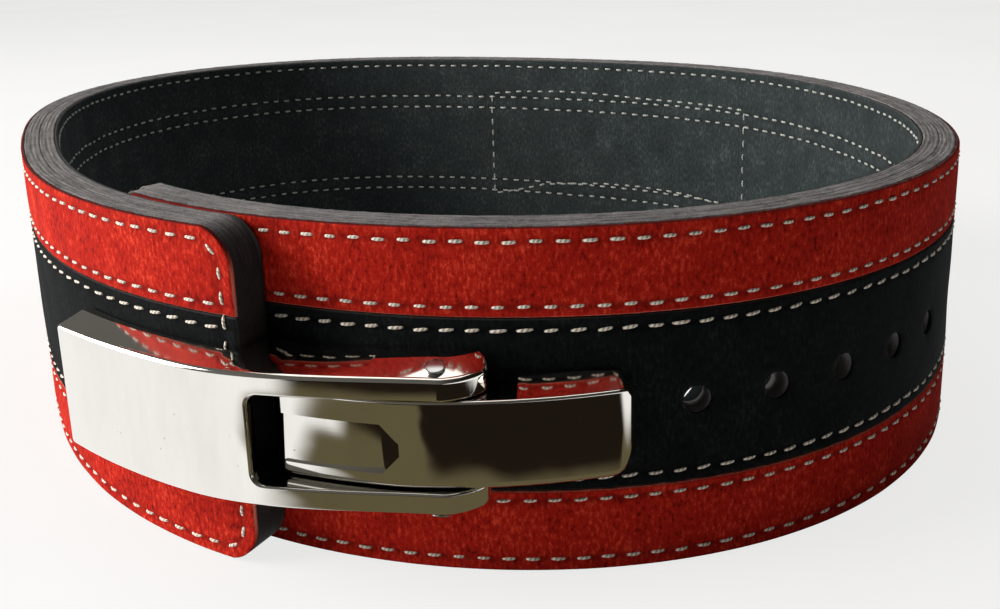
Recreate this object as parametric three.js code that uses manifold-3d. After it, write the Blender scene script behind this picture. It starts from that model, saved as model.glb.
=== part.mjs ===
// A lever belt for weightlifting, fastened into its loop and standing on its lower edge.
// Millimetres, +Z up, the buckle towards -Y. The origin is under the middle of the loop.
import * as THREE from 'three';
import { mergeVertices } from 'three/addons/utils/BufferGeometryUtils.js';
import Module from 'manifold-3d';

const wasm = await Module();
wasm.setup();

// Strap
const strapHeight = 100;
const liningThickness = 1.2;
const plyThickness = 5;
const suedeThickness = 1.2;
const layerGap = 0.3;
const redBandHeight = 25;
const suedeInset = 0.4;
const endCornerRadius = 12;
const strapThickness = liningThickness + 2 * plyThickness + suedeThickness + 3 * layerGap;

// Loop: the outer face of the strap is a round loop with a few low waves, as shares of its radius
const loopRadius = 190.4;
const loopWaves = [
  { turns: 2, cosine: -0.009, sine: -0.1174 },
  { turns: 3, cosine: 0.0112, sine: 0.0307 },
  { turns: 4, cosine: -0.017, sine: 0.001 },
];

// Overlap: places along the strap are lengths from the front of the loop, towards its right
const tonguePlace = -117;
const tongueSkive = 6;
const outerEndPlace = -46;
const overlapGap = 0.4;
const riseStartDegrees = 146;
const riseEndDegrees = 268;

// Punched holes of the tongue, the first two of them under the buckle's screws
const holeDiameter = 8;
const holePitch = 25;
const holeHeight = 49;
const firstHolePlace = -0.5;
const holeCount = 8;

// Buckle
const buckleHeight = 44.9;
const seatGap = 0.4;
const leverHeight = 39.5;
const leverLeftPlace = -107;
const leverRise = 10.2;
const leverPlateThickness = 3;
const leverEndWall = 4;
const armHeight = 6.8;
const armRise = 15.5;
const armEndPlace = 8;
const windowPlace = -39;
const armClearance = 0.35;
const endClearance = 1.5;

// Hinge
const hingePlace = 12.2;
const hingeRise = 6.8;
const hingePinDiameter = 5;
const hingeSocketDepth = 3.5;
const pinClearance = 0.3;
const noseShoulderDegrees = 30;

// Prongs of the lever, in two holes of the outer end
const firstProngPlace = -62;
const prongCount = 2;
const prongDiameter = 4.2;
const prongReach = 6;

// Rivets in the outer sides of the arms
const rivetPlace = 6.4;
const rivetRise = 11.2;
const rivetHeadDiameter = 5.6;
const rivetHeadHeight = 0.9;
const rivetDomeRadiusShare = 0.8;
const rivetDomeHeightShare = 0.7;
const rivetShankDiameter = 3;
const rivetShankLength = 2.5;

// Base plate, screwed to the tongue
const baseLeftPlace = -34;
const baseRightPlace = 51;
const baseFootPlace = 56.5;
const baseBendPlace = -4;
const baseRise = 15.3;
const baseRiseRight = 8;
const baseBendPower = 1.3;
const recessEndPlace = -2.5;
const recessDrop = 1.2;
const recessHeight = 14;
const recessDepth = 2.4;
const recessPoint = 4.6;
const recessTipHeight = 3.5;

// Screws
const screwCount = 2;
const screwDiameter = 7.2;
const screwHeadDiameter = 12;
const screwHeadThickness = 1.6;
const screwDepth = 3.5;

// How far a cutting shape goes past what it cuts, less than the gap in the overlap
const cutOvershoot = 0.3;

// Facets
const strapSegments = 104;
const cornerSegments = 4;
const holeSides = 12;
const pinSides = 16;
const profileSteps = 14;

const black = new THREE.MeshStandardMaterial({ color: 0x15191a, roughness: 0.95, metalness: 0 });
const lining = new THREE.MeshStandardMaterial({ color: 0x2a3234, roughness: 0.95, metalness: 0 });
const red = new THREE.MeshStandardMaterial({ color: 0xb5181a, roughness: 0.9, metalness: 0 });
const leather = new THREE.MeshStandardMaterial({ color: 0x66666a, roughness: 0.85, metalness: 0 });
const chrome = new THREE.MeshStandardMaterial({ color: 0xd8d8d6, roughness: 0.12, metalness: 1 });
const steel = new THREE.MeshStandardMaterial({ color: 0x9a9a9c, roughness: 0.35, metalness: 1 });

const degrees = THREE.MathUtils.degToRad;
const mix = THREE.MathUtils.lerp;
const smooth = (x) => THREE.MathUtils.smoothstep(x, 0, 1);
const smoother = (x) => THREE.MathUtils.smootherstep(x, 0, 1);

// Places from one to another in even steps
function steps(from, to, count) {
  return Array.from({ length: count + 1 }, (_, i) => mix(from, to, i / count));
}

// Point of the loop's outer face at a turn angle, which grows from the front to the right
function loopPoint(angle) {
  const share = loopWaves.reduce(
    (sum, w) => sum + w.cosine * Math.cos(w.turns * angle) + w.sine * Math.sin(w.turns * angle),
    1,
  );
  const radius = loopRadius * share;
  return new THREE.Vector2(radius * Math.cos(angle), radius * Math.sin(angle));
}

// Outward direction of the loop at a turn angle
function loopNormal(angle) {
  const step = 1e-4;
  const along = loopPoint(angle + step).sub(loopPoint(angle - step)).normalize();
  return new THREE.Vector2(along.y, -along.x);
}

const frontAngle = degrees(-90);
const tableStep = degrees(0.5);
const tableTurns = Math.round((2 * Math.PI) / tableStep);

// Lengths along the loop from its front, one for each step of the turn angle
const loopLengths = [0];
for (let i = 1; i <= tableTurns; i += 1) {
  const here = loopPoint(frontAngle + i * tableStep);
  const before = loopPoint(frontAngle + (i - 1) * tableStep);
  loopLengths.push(loopLengths[i - 1] + here.distanceTo(before));
}
const loopLength = loopLengths[tableTurns];

// Turn angle at a length along the loop, negative lengths being to the left of the front
function angleAt(place) {
  const turns = Math.floor(place / loopLength);
  const rest = place - turns * loopLength;
  let low = 0;
  let high = tableTurns;
  while (high - low > 1) {
    const middle = (low + high) >> 1;
    if (loopLengths[middle] <= rest) low = middle;
    else high = middle;
  }
  const share = (rest - loopLengths[low]) / (loopLengths[high] - loopLengths[low]);
  return frontAngle + turns * 2 * Math.PI + (low + share) * tableStep;
}

// How far the strap stands out from the loop, so that its outer end lies on the tongue
const overlapLift = strapThickness + overlapGap;
function liftAt(place) {
  const start = degrees(riseStartDegrees);
  const span = degrees(riseEndDegrees) - start;
  const angle = angleAt(place);
  if (angle > frontAngle + Math.PI / 2) return overlapLift * smoother((angle - start) / span);
  return overlapLift * (smoother((angle + 2 * Math.PI - start) / span) - 1);
}

// Plan point at a place along the strap, a distance out from its outer face
function strapPoint(place, out) {
  const angle = angleAt(place);
  return loopPoint(angle).addScaledVector(loopNormal(angle), liftAt(place) + out);
}

const outerEnd = loopLength + outerEndPlace;
// The same place on the outer end of the strap, which lies over the tongue
const onOuterEnd = (place) => place + loopLength;

// A closed mesh as a solid that can be cut
function solid(geometry) {
  const bare = geometry.clone();
  bare.deleteAttribute('normal');
  bare.deleteAttribute('uv');
  const merged = mergeVertices(bare, 1e-4);
  return new wasm.Manifold(new wasm.Mesh({
    numProp: 3,
    vertProperties: new Float32Array(merged.attributes.position.array),
    triVerts: new Uint32Array(merged.index.array),
  }));
}

// A solid back as a geometry with flat facets
function geometryOf(manifold) {
  const mesh = manifold.getMesh();
  const geometry = new THREE.BufferGeometry();
  geometry.setAttribute('position', new THREE.BufferAttribute(mesh.vertProperties, 3));
  geometry.setIndex(new THREE.BufferAttribute(mesh.triVerts, 1));
  const flat = geometry.toNonIndexed();
  flat.computeVertexNormals();
  return flat;
}

// A plan outline carried straight up from one height to another
function prism(outline, bottom, top) {
  const geometry = new THREE.ExtrudeGeometry(new THREE.Shape(outline), {
    depth: top - bottom,
    bevelEnabled: false,
  });
  return geometry.translate(0, 0, bottom);
}

// A strip along the strap: at each place a rectangle between two depths and two heights
function strip(places, section) {
  const positions = [];
  const rings = places.map((place) => {
    const { inner, outer, bottom, top } = section(place);
    const near = strapPoint(place, outer);
    const far = strapPoint(place, inner);
    return [[near.x, near.y, bottom], [near.x, near.y, top], [far.x, far.y, top], [far.x, far.y, bottom]];
  });
  const quad = (a, b, c, d) => positions.push(...a, ...b, ...c, ...a, ...c, ...d);
  rings.slice(1).forEach((ring, i) => {
    const before = rings[i];
    for (let k = 0; k < 4; k += 1) {
      const next = (k + 1) % 4;
      quad(before[k], ring[k], ring[next], before[next]);
    }
  });
  quad(...rings[0]);
  quad(...rings[rings.length - 1].slice().reverse());
  const geometry = new THREE.BufferGeometry();
  geometry.setAttribute('position', new THREE.Float32BufferAttribute(positions, 3));
  geometry.computeVertexNormals();
  return geometry;
}

// A round peg across the strap at a place and height, between two distances from its outer face
function peg(place, height, from, to, diameter, sides) {
  const start = strapPoint(place, from);
  const end = strapPoint(place, to);
  return pegBetween(start, end, height, diameter, sides);
}

// A round peg at a height, between two plan points
function pegBetween(start, end, height, diameter, sides) {
  const along = end.clone().sub(start);
  const radius = diameter / 2;
  const geometry = new THREE.CylinderGeometry(radius, radius, along.length(), sides);
  geometry.rotateZ(-Math.PI / 2);
  geometry.rotateZ(Math.atan2(along.y, along.x));
  const middle = start.clone().add(end).multiplyScalar(0.5);
  return geometry.translate(middle.x, middle.y, height);
}

// An upright round post at a plan point
function post(point, bottom, top, diameter, sides) {
  const radius = diameter / 2;
  const geometry = new THREE.CylinderGeometry(radius, radius, top - bottom, sides);
  return geometry.rotateX(Math.PI / 2).translate(point.x, point.y, (top + bottom) / 2);
}

const group = new THREE.Group();
function add(name, geometry, material) {
  const mesh = new THREE.Mesh(geometry, material);
  mesh.name = name;
  group.add(mesh);
}

// How much a rounded corner takes off the strap's height, at a distance from its end
function cornerCut(fromEnd) {
  const reach = endCornerRadius - Math.min(Math.max(fromEnd, 0), endCornerRadius);
  return endCornerRadius - Math.sqrt(endCornerRadius ** 2 - reach ** 2);
}

// Places of the rings of a layer that starts at the tongue, closer together in the rounded corners
function layerPlaces(start) {
  const corner = Array.from({ length: cornerSegments }, (_, i) => {
    const turn = (Math.PI / 2) * (1 - i / cornerSegments);
    return endCornerRadius * (1 - Math.sin(turn));
  });
  const middle = steps(start + endCornerRadius, outerEnd - endCornerRadius, strapSegments);
  return [...corner.map((c) => start + c), ...middle, ...corner.map((c) => outerEnd - c).reverse()];
}

const holePlaces = Array.from({ length: holeCount }, (_, i) => firstHolePlace + i * holePitch);
const prongPlaces = Array.from({ length: prongCount }, (_, i) => firstProngPlace - i * holePitch);
const punchedPlaces = [...holePlaces, ...prongPlaces.map(onOuterEnd)];

// The layer with all its punched holes, each hole as wide as the others
function punched(layer) {
  const deep = -strapThickness - cutOvershoot;
  return punchedPlaces.reduce((rest, place) => {
    const punch = peg(place, holeHeight, deep, cutOvershoot, holeDiameter, holeSides);
    return rest.subtract(solid(punch));
  }, solid(layer));
}

// One layer of the strap, between two depths and two heights, with its ends rounded
function layer({ inner, outer, bottom, top, skive = 0 }) {
  const start = tonguePlace + skive;
  return strip(layerPlaces(start), (place) => {
    const cut = cornerCut(Math.min(place - start, outerEnd - place));
    return { inner, outer, bottom: Math.max(bottom, cut), top: Math.min(top, strapHeight - cut) };
  });
}

// Depths of the layers, in from the strap's outer face
const outerPlyFace = -(suedeThickness + layerGap);
const innerPlyFace = outerPlyFace - plyThickness - layerGap;
const liningFace = innerPlyFace - plyThickness - layerGap;
const skinBottom = suedeInset;
const skinTop = strapHeight - suedeInset;

function addStrap() {
  const whole = { bottom: 0, top: strapHeight };
  const skin = { bottom: skinBottom, top: skinTop };
  const innerPly = { inner: innerPlyFace - plyThickness, outer: innerPlyFace, ...whole };
  const outerPly = { inner: outerPlyFace - plyThickness, outer: outerPlyFace, ...whole };
  const inside = { inner: liningFace - liningThickness, outer: liningFace, ...skin };
  add('core_inner_ply', geometryOf(punched(layer(innerPly))), leather);
  add('core_outer_ply', geometryOf(punched(layer({ ...outerPly, skive: tongueSkive / 2 }))), leather);
  add('lining_suede', geometryOf(punched(layer(inside))), lining);
}

function addSuede() {
  const face = { inner: -suedeThickness, outer: 0, skive: tongueSkive };
  const lowSeam = redBandHeight;
  const highSeam = strapHeight - redBandHeight;
  const half = layerGap / 2;
  const topBand = { ...face, bottom: highSeam + half, top: skinTop };
  const centreBand = { ...face, bottom: lowSeam + half, top: highSeam - half };
  const bottomBand = { ...face, bottom: skinBottom, top: lowSeam - half };
  add('outer_red_top', layer(topBand), red);
  add('outer_black_centre', geometryOf(punched(layer(centreBand))), black);
  add('outer_red_bottom', layer(bottomBand), red);
}

// Distance of the lever's front from the loop's face: along the outer end, then down to the arms
function leverFront(place) {
  const start = outerEndPlace - endCornerRadius;
  const share = smooth((place - start) / (armEndPlace - start));
  return mix(overlapLift + leverRise, armRise, share);
}

// Plan point at a distance out from the loop's own face, whatever the strap does there
function bucklePoint(place, out) {
  const angle = angleAt(place);
  return loopPoint(angle).addScaledVector(loopNormal(angle), out);
}

const hingePoint = bucklePoint(hingePlace, hingeRise);
const noseRadius = hingeRise - seatGap;
const armInside = leverHeight / 2 - armHeight;

// The round nose of an arm, from its front down to its underside, about the hinge
function noseCurve() {
  const shoulder = bucklePoint(armEndPlace, armRise);
  const shoulderTurn = bucklePoint(hingePlace, armRise - seatGap);
  const angle = angleAt(hingePlace);
  const out = loopNormal(angle);
  const along = new THREE.Vector2(-out.y, out.x);
  const around = (turn) => hingePoint.clone()
    .addScaledVector(along, noseRadius * Math.cos(turn))
    .addScaledVector(out, noseRadius * Math.sin(turn));
  const start = degrees(noseShoulderDegrees);
  const control = shoulderTurn.clone().addScaledVector(along, noseRadius / 2);
  const bend = new THREE.QuadraticBezierCurve(shoulder, control, around(start));
  const curve = steps(start, -Math.PI / 2, profileSteps / 2).slice(1).map(around);
  return [...bend.getPoints(profileSteps / 2), ...curve];
}

// Plan outline of the lever: front, nose, underside on the tongue, then on the outer end
function leverOutline() {
  const front = steps(leverLeftPlace, armEndPlace, profileSteps).map((p) => bucklePoint(p, leverFront(p)));
  const dropPlace = outerEndPlace + endClearance;
  const under = steps(hingePlace, dropPlace, profileSteps / 2).slice(1).map((p) => strapPoint(p, seatGap));
  const seat = steps(dropPlace, leverLeftPlace, profileSteps / 2)
    .map((p) => bucklePoint(p, liftAt(onOuterEnd(p)) + seatGap));
  return [...front.slice(0, -1), ...noseCurve(), ...under, ...seat];
}

// Plan outline of the hollow behind the lever's plate
function hollowOutline() {
  const start = leverLeftPlace + leverEndWall;
  const under = steps(start, windowPlace, profileSteps)
    .map((p) => bucklePoint(p, leverFront(p) - leverPlateThickness));
  const back = steps(windowPlace, start, profileSteps).map((p) => bucklePoint(p, -strapThickness));
  return [...under, ...back];
}

// Plan outline of all that lies between the arms, past the edge of the lever's plate
function windowOutline() {
  const end = hingePlace + 2 * noseRadius;
  const out = armRise + leverRise + overlapLift;
  const front = steps(windowPlace, end, profileSteps).map((p) => bucklePoint(p, out));
  const back = steps(end, windowPlace, profileSteps).map((p) => bucklePoint(p, -strapThickness));
  return [...front, ...back];
}

// A prong stands on the plate's back and points along its own way about the hinge
function prong(place) {
  const hole = bucklePoint(place, liftAt(onOuterEnd(place)) - prongReach);
  const arm = hole.clone().sub(hingePoint).normalize();
  const way = new THREE.Vector2(arm.y, -arm.x);
  if (way.dot(loopNormal(angleAt(place))) < 0) way.negate();
  const length = prongReach + leverRise - leverPlateThickness / 2;
  return pegBetween(hole, hole.clone().addScaledVector(way, length), holeHeight, prongDiameter, holeSides);
}

function addLever() {
  const low = buckleHeight - leverHeight / 2;
  const high = buckleHeight + leverHeight / 2;
  const insideLow = buckleHeight - armInside;
  const insideHigh = buckleHeight + armInside;
  const socket = hingePinDiameter + 2 * pinClearance;
  const pinLow = insideLow - hingeSocketDepth;
  const pinHigh = insideHigh + hingeSocketDepth;
  const rivetPoint = bucklePoint(rivetPlace, rivetRise);
  const rivetHole = rivetShankDiameter + 2 * pinClearance;
  const rivetDepth = rivetShankLength + pinClearance;
  let lever = solid(prism(leverOutline(), low, high))
    .subtract(solid(prism(hollowOutline(), insideLow, insideHigh)))
    .subtract(solid(prism(windowOutline(), insideLow, insideHigh)))
    .subtract(solid(post(hingePoint, pinLow, pinHigh, socket, pinSides)))
    .subtract(solid(post(rivetPoint, high - rivetDepth, high + cutOvershoot, rivetHole, holeSides)))
    .subtract(solid(post(rivetPoint, low - cutOvershoot, low + rivetDepth, rivetHole, holeSides)));
  prongPlaces.forEach((place) => {
    lever = lever.add(solid(prong(place)));
  });
  add('lever', geometryOf(lever), chrome);
  const pin = post(hingePoint, pinLow + pinClearance, pinHigh - pinClearance, hingePinDiameter, pinSides);
  add('hinge_pin', pin, steel);
  addRivet('lever_rivet_top', rivetPoint, high, 1);
  addRivet('lever_rivet_bottom', rivetPoint, low, -1);
}

// A rivet with a low domed head on an arm's outer side, pointing up or down
function addRivet(name, point, side, way) {
  const head = rivetHeadDiameter / 2;
  const shank = rivetShankDiameter / 2;
  const profile = [
    [0, -rivetShankLength],
    [shank, -rivetShankLength],
    [shank, pinClearance],
    [head, pinClearance],
    [head * rivetDomeRadiusShare, pinClearance + rivetHeadHeight * rivetDomeHeightShare],
    [0, pinClearance + rivetHeadHeight],
  ].map(([x, y]) => new THREE.Vector2(x, y));
  const geometry = new THREE.LatheGeometry(profile, pinSides);
  geometry.rotateX((way * Math.PI) / 2).translate(point.x, point.y, side);
  add(name, geometry, steel);
}

// Distance of the base plate's front from the tongue's face: level, then bent towards the strap
function baseFront(place) {
  const share = Math.max((place - baseBendPlace) / (baseRightPlace - baseBendPlace), 0);
  return mix(baseRise, baseRiseRight, share ** baseBendPower);
}

function baseOutline() {
  const front = steps(baseLeftPlace, baseRightPlace, 2 * profileSteps)
    .map((p) => bucklePoint(p, baseFront(p)));
  const shoulder = bucklePoint(baseFootPlace, baseRiseRight - seatGap);
  const foot = bucklePoint(baseFootPlace, seatGap);
  const bend = new THREE.QuadraticBezierCurve(front[front.length - 1], shoulder, foot);
  const under = steps(baseFootPlace, baseLeftPlace, profileSteps).map((p) => strapPoint(p, seatGap));
  return [...front.slice(0, -1), ...bend.getPoints(profileSteps / 2), ...under.slice(1)];
}

// The recess in the base plate's front, open at its left end and pointed at its right
function recess() {
  const start = baseLeftPlace - cutOvershoot;
  const centre = buckleHeight - recessDrop;
  const places = [...steps(start, recessEndPlace - recessPoint, profileSteps / 2), recessEndPlace];
  return strip(places, (place) => {
    const half = (place < recessEndPlace ? recessHeight : recessTipHeight) / 2;
    const floor = baseFront(place) - recessDepth;
    return {
      inner: floor - liftAt(place),
      outer: armRise + recessDepth,
      bottom: centre - half,
      top: centre + half,
    };
  });
}

function addBase() {
  const half = armInside - armClearance;
  const bore = hingePinDiameter + 2 * pinClearance;
  const low = buckleHeight - half;
  const high = buckleHeight + half;
  let base = solid(prism(baseOutline(), low, high))
    .subtract(solid(recess()))
    .subtract(solid(post(hingePoint, low - cutOvershoot, high + cutOvershoot, bore, pinSides)));
  holePlaces.slice(0, screwCount).forEach((place, i) => {
    const socketTop = seatGap + screwDepth + pinClearance;
    const hole = screwDiameter + 2 * pinClearance;
    base = base.subtract(solid(peg(place, holeHeight, -cutOvershoot, socketTop, hole, holeSides)));
    addScrew(`base_screw_${i + 1}`, place);
  });
  add('base_plate', geometryOf(base), chrome);
}

// A flat-headed screw from the inside of the strap into the base plate
function addScrew(name, place) {
  const headFace = -strapThickness - layerGap;
  const headBack = headFace - screwHeadThickness;
  const tip = seatGap + screwDepth;
  const shank = peg(place, holeHeight, mix(headFace, headBack, 0.5), tip, screwDiameter, holeSides);
  const head = peg(place, holeHeight, headBack, headFace, screwHeadDiameter, pinSides);
  add(name, geometryOf(solid(shank).add(solid(head))), steel);
}

addStrap();
addSuede();
addLever();
addBase();

// The origin goes under the middle of the whole
const bounds = new THREE.Box3().setFromObject(group);
const centre = bounds.getCenter(new THREE.Vector3());
group.position.set(-centre.x, -centre.y, -bounds.min.z);

export default group;
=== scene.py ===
"""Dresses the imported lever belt: suede bands, sewn seams, cut leather edges and a chrome lever buckle.

Places on the strap are given in three lengths, in millimetres: place, along the strap from the front of
the loop towards its right; out, away from the outer face; and height, above the floor. Meshes are in metres.
"""

import logging
import math
from collections.abc import Sequence
from dataclasses import dataclass, field
from enum import Enum
from functools import cached_property
from typing import Any

import bpy
import numpy as np
from mathutils import Matrix, Vector


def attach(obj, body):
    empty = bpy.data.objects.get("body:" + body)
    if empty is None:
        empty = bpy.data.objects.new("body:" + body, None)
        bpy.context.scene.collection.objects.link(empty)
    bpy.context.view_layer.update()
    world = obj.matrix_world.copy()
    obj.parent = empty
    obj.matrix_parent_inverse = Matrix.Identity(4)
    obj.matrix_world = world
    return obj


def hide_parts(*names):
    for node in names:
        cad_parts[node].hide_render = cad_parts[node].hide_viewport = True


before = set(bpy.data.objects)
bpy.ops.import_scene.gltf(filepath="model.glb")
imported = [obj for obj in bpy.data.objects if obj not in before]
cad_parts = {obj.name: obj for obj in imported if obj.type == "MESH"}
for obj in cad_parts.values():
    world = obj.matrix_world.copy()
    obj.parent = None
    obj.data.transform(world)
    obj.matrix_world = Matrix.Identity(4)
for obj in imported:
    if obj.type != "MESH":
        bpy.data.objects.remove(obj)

log = logging.getLogger("belt")
MM = 0.001
ASIDE = (0.3, 0.5, 0.81)
POLE = 0.02
Array = np.ndarray


# Plan of the strap


def smoothstep(x: Array) -> Array:
    """Cubic ease from 0 to 1: 3x^2 - 2x^3, held at its ends."""
    x = np.clip(x, 0, 1)
    return x * x * (3 - 2 * x)


def smootherstep(x: Array) -> Array:
    """Quintic ease from 0 to 1: 6x^5 - 15x^4 + 10x^3, held at its ends."""
    x = np.clip(x, 0, 1)
    return x**3 * (x * (6 * x - 15) + 10)


@dataclass(frozen=True)
class Loop:
    """The strap's fastened loop: a round with low waves, whose outer end lies over its tongue."""

    radius: float = 190.4
    waves: tuple[tuple[int, float, float], ...] = (
        (2, -0.009, -0.1174),
        (3, 0.0112, 0.0307),
        (4, -0.017, 0.001),
    )
    plan_shift: tuple[float, float] = (2.391, 9.538)
    overlap_lift: float = 13.7
    rise_start: float = math.radians(146)
    rise_end: float = math.radians(268)
    front: float = math.radians(-90)
    table_steps: int = 14400

    def point(self, angle: Array) -> Array:
        """Plan point of the outer face: the radius times one plus the waves, at a turn angle."""
        share = 1 + sum(c * np.cos(k * angle) + s * np.sin(k * angle) for k, c, s in self.waves)
        return (self.radius * share)[..., None] * np.stack([np.cos(angle), np.sin(angle)], -1)

    def normal(self, angle: Array) -> Array:
        """Outward direction: the way along the loop, turned a quarter to the right.

        Args:
            angle: Turn angles in radians.

        Returns:
            Unit vectors in the plan.
        """
        step = 1e-4
        along = self.point(angle + step) - self.point(angle - step)
        along /= np.linalg.norm(along, axis=-1, keepdims=True)
        return np.stack([along[..., 1], -along[..., 0]], -1)

    @cached_property
    def table(self) -> tuple[Array, Array]:
        """Turn angles from half a turn before the front to a turn and a half after it, and their places.

        Returns:
            The angles, and the places at them.
        """
        angles = self.front + np.linspace(-math.pi, 3 * math.pi, self.table_steps + 1)
        steps = np.linalg.norm(np.diff(self.point(angles), axis=0), axis=1)
        places = np.concatenate([[0], np.cumsum(steps)])
        return angles, places - np.interp(self.front, angles, places)

    @cached_property
    def length(self) -> float:
        """Length once round the loop."""
        angles, places = self.table
        return float(np.interp(self.front + 2 * math.pi, angles, places))

    def angle_at(self, place: Array) -> Array:
        """Turn angle at a place."""
        angles, places = self.table
        return np.interp(place, places, angles)

    def lift_at(self, place: Array) -> Array:
        """Lift of the strap off the loop: a little below 0 at its inner end, the overlap's at its outer end.

        Args:
            place: Places along the strap.

        Returns:
            Distances out of the loop.
        """
        angle = self.angle_at(np.asarray(place, float))
        span = self.rise_end - self.rise_start
        rising = smootherstep((angle - self.rise_start) / span)
        falling = smootherstep((angle + 2 * math.pi - self.rise_start) / span) - 1
        return self.overlap_lift * np.where(angle > self.front + math.pi / 2, rising, falling)

    def plan(self, place: Array, out: Array) -> Array:
        """Plan point in the frame, in millimetres, a distance out from the loop itself.

        Args:
            place: Places along the strap.
            out: Distances out of the loop.

        Returns:
            Rows of x and y.
        """
        place, out = np.broadcast_arrays(np.asarray(place, float), np.asarray(out, float))
        angle = self.angle_at(place)
        return self.point(angle) + self.normal(angle) * out[..., None] + np.array(self.plan_shift)

    def strap(self, place: Array, out: Array, height: Array) -> Array:
        """Point in metres, a distance out from the strap's outer face.

        Args:
            place: Places along the strap.
            out: Distances out of the strap's outer face.
            height: Heights.

        Returns:
            Rows of x, y and z.
        """
        place, out, height = np.broadcast_arrays(*(np.asarray(v, float) for v in (place, out, height)))
        plan = self.plan(place, out + self.lift_at(place))
        return np.concatenate([plan, height[..., None]], -1) * MM


LOOP = Loop()


# Meshes from arrays


@dataclass
class Surface:
    """Vertices in metres with faces of one size each, and what the materials read from them."""

    vertices: Array
    quads: Array
    caps: list[Array] = field(default_factory=list)
    uv: Array | None = None
    marks: dict[str, Array] = field(default_factory=dict)

    @property
    def sizes(self) -> list[int]:
        """How many corners each face has."""
        return [4] * len(self.quads) + [len(cap) for cap in self.caps]

    def volume(self) -> float:
        """Signed volume: a sixth of the sum of a . (b x c) over the triangles that the faces split into.

        Returns:
            The volume in cubic metres, below 0 when the faces point inwards.
        """
        total = 0.0
        for faces in (self.quads, *(cap[None] for cap in self.caps)):
            corners = self.vertices[faces]
            fan = np.cross(corners[:, 1:-1], corners[:, 2:])
            total += float(np.einsum("ik,ijk->", corners[:, 0], fan))
        return total / 6

    def outward(self) -> "Surface":
        """The same surface with every face pointing outwards.

        Returns:
            This surface, or one with all its faces turned over.
        """
        if self.volume() >= 0:
            return self
        uv = self.uv
        if uv is not None:
            starts = np.repeat(np.cumsum([0, *self.sizes[:-1]]), self.sizes)
            ends = np.repeat(np.cumsum(self.sizes), self.sizes)
            uv = uv[starts + ends - 1 - np.arange(len(uv))]
        caps = [cap[::-1] for cap in self.caps]
        return Surface(self.vertices, self.quads[:, ::-1], caps, uv, self.marks)


def grid_quads(rings: int, points: int, wrapped: bool) -> Array:
    """Quads between neighbouring rings of points.

    Args:
        rings: How many rings there are.
        points: Points in each ring.
        wrapped: Whether a ring's last point joins its first.

    Returns:
        Rows of four vertex numbers.
    """
    ring = np.arange(rings - 1)[:, None] * points
    here = np.arange(points if wrapped else points - 1)
    after = (here + 1) % points
    corners = [ring + here, ring + points + here, ring + points + after, ring + after]
    return np.stack(corners, -1).reshape(-1, 4)


def swept(rings: Array, along: Array, across: Array, marks: dict[str, Array] | None = None) -> Surface:
    """A closed profile carried along a path, with its two ends closed.

    Args:
        rings: Points by ring, then by profile point, in metres.
        along: Length along the path at each ring, in millimetres.
        across: Length round the profile at each of its points and back at its first, in millimetres.
        marks: Values by ring and profile point that the materials read.

    Returns:
        The closed surface, whose UV map is the two lengths in metres.
    """
    count, points = rings.shape[:2]
    quads = grid_quads(count, points, True)
    first = np.arange(points)
    last = first[::-1] + (count - 1) * points
    u = np.stack([along[:-1], along[1:], along[1:], along[:-1]], -1)
    v = np.stack([across[:-1], across[:-1], across[1:], across[1:]], -1)
    u, v = (np.broadcast_to(a, (count - 1, points, 4)) for a in (u[:, None], v[None]))
    uv = np.stack([u, v], -1).reshape(-1, 2)
    ends = [np.stack([across[:-1], np.full(points, along[i])], -1) for i in (0, -1)]
    uv = np.concatenate([uv, *ends]) * MM
    marks = {name: values.reshape(-1) for name, values in (marks or {}).items()}
    return Surface(rings.reshape(-1, 3), quads, [first, last], uv, marks)


def lathe(profile: Array, centre: Array, axis: Array, sides: int) -> Surface:
    """A profile of radii and lengths turned about an axis: centre + axis * length + radius * round.

    Args:
        profile: Rows of radius and length along the axis, in millimetres, the first and last on the axis.
        centre: Point on the axis, in millimetres.
        axis: Direction of growing length.
        sides: Points round the axis.

    Returns:
        The closed surface, whose two poles are small flat faces.
    """
    axis = axis / np.linalg.norm(axis)
    side = np.cross(axis, ASIDE)
    side /= np.linalg.norm(side)
    other = np.cross(axis, side)
    turn = np.linspace(0, 2 * math.pi, sides, endpoint=False)
    ring = np.cos(turn)[:, None] * side + np.sin(turn)[:, None] * other
    radii = np.maximum(profile[:, 0], POLE)
    rings = centre + profile[:, 1][:, None, None] * axis + radii[:, None, None] * ring
    along = np.concatenate([[0], np.cumsum(np.linalg.norm(np.diff(profile, axis=0), axis=1))])
    across = np.linspace(0, 2 * math.pi * radii.max(), sides + 1)
    return swept(rings * MM, along, across).outward()


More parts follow.
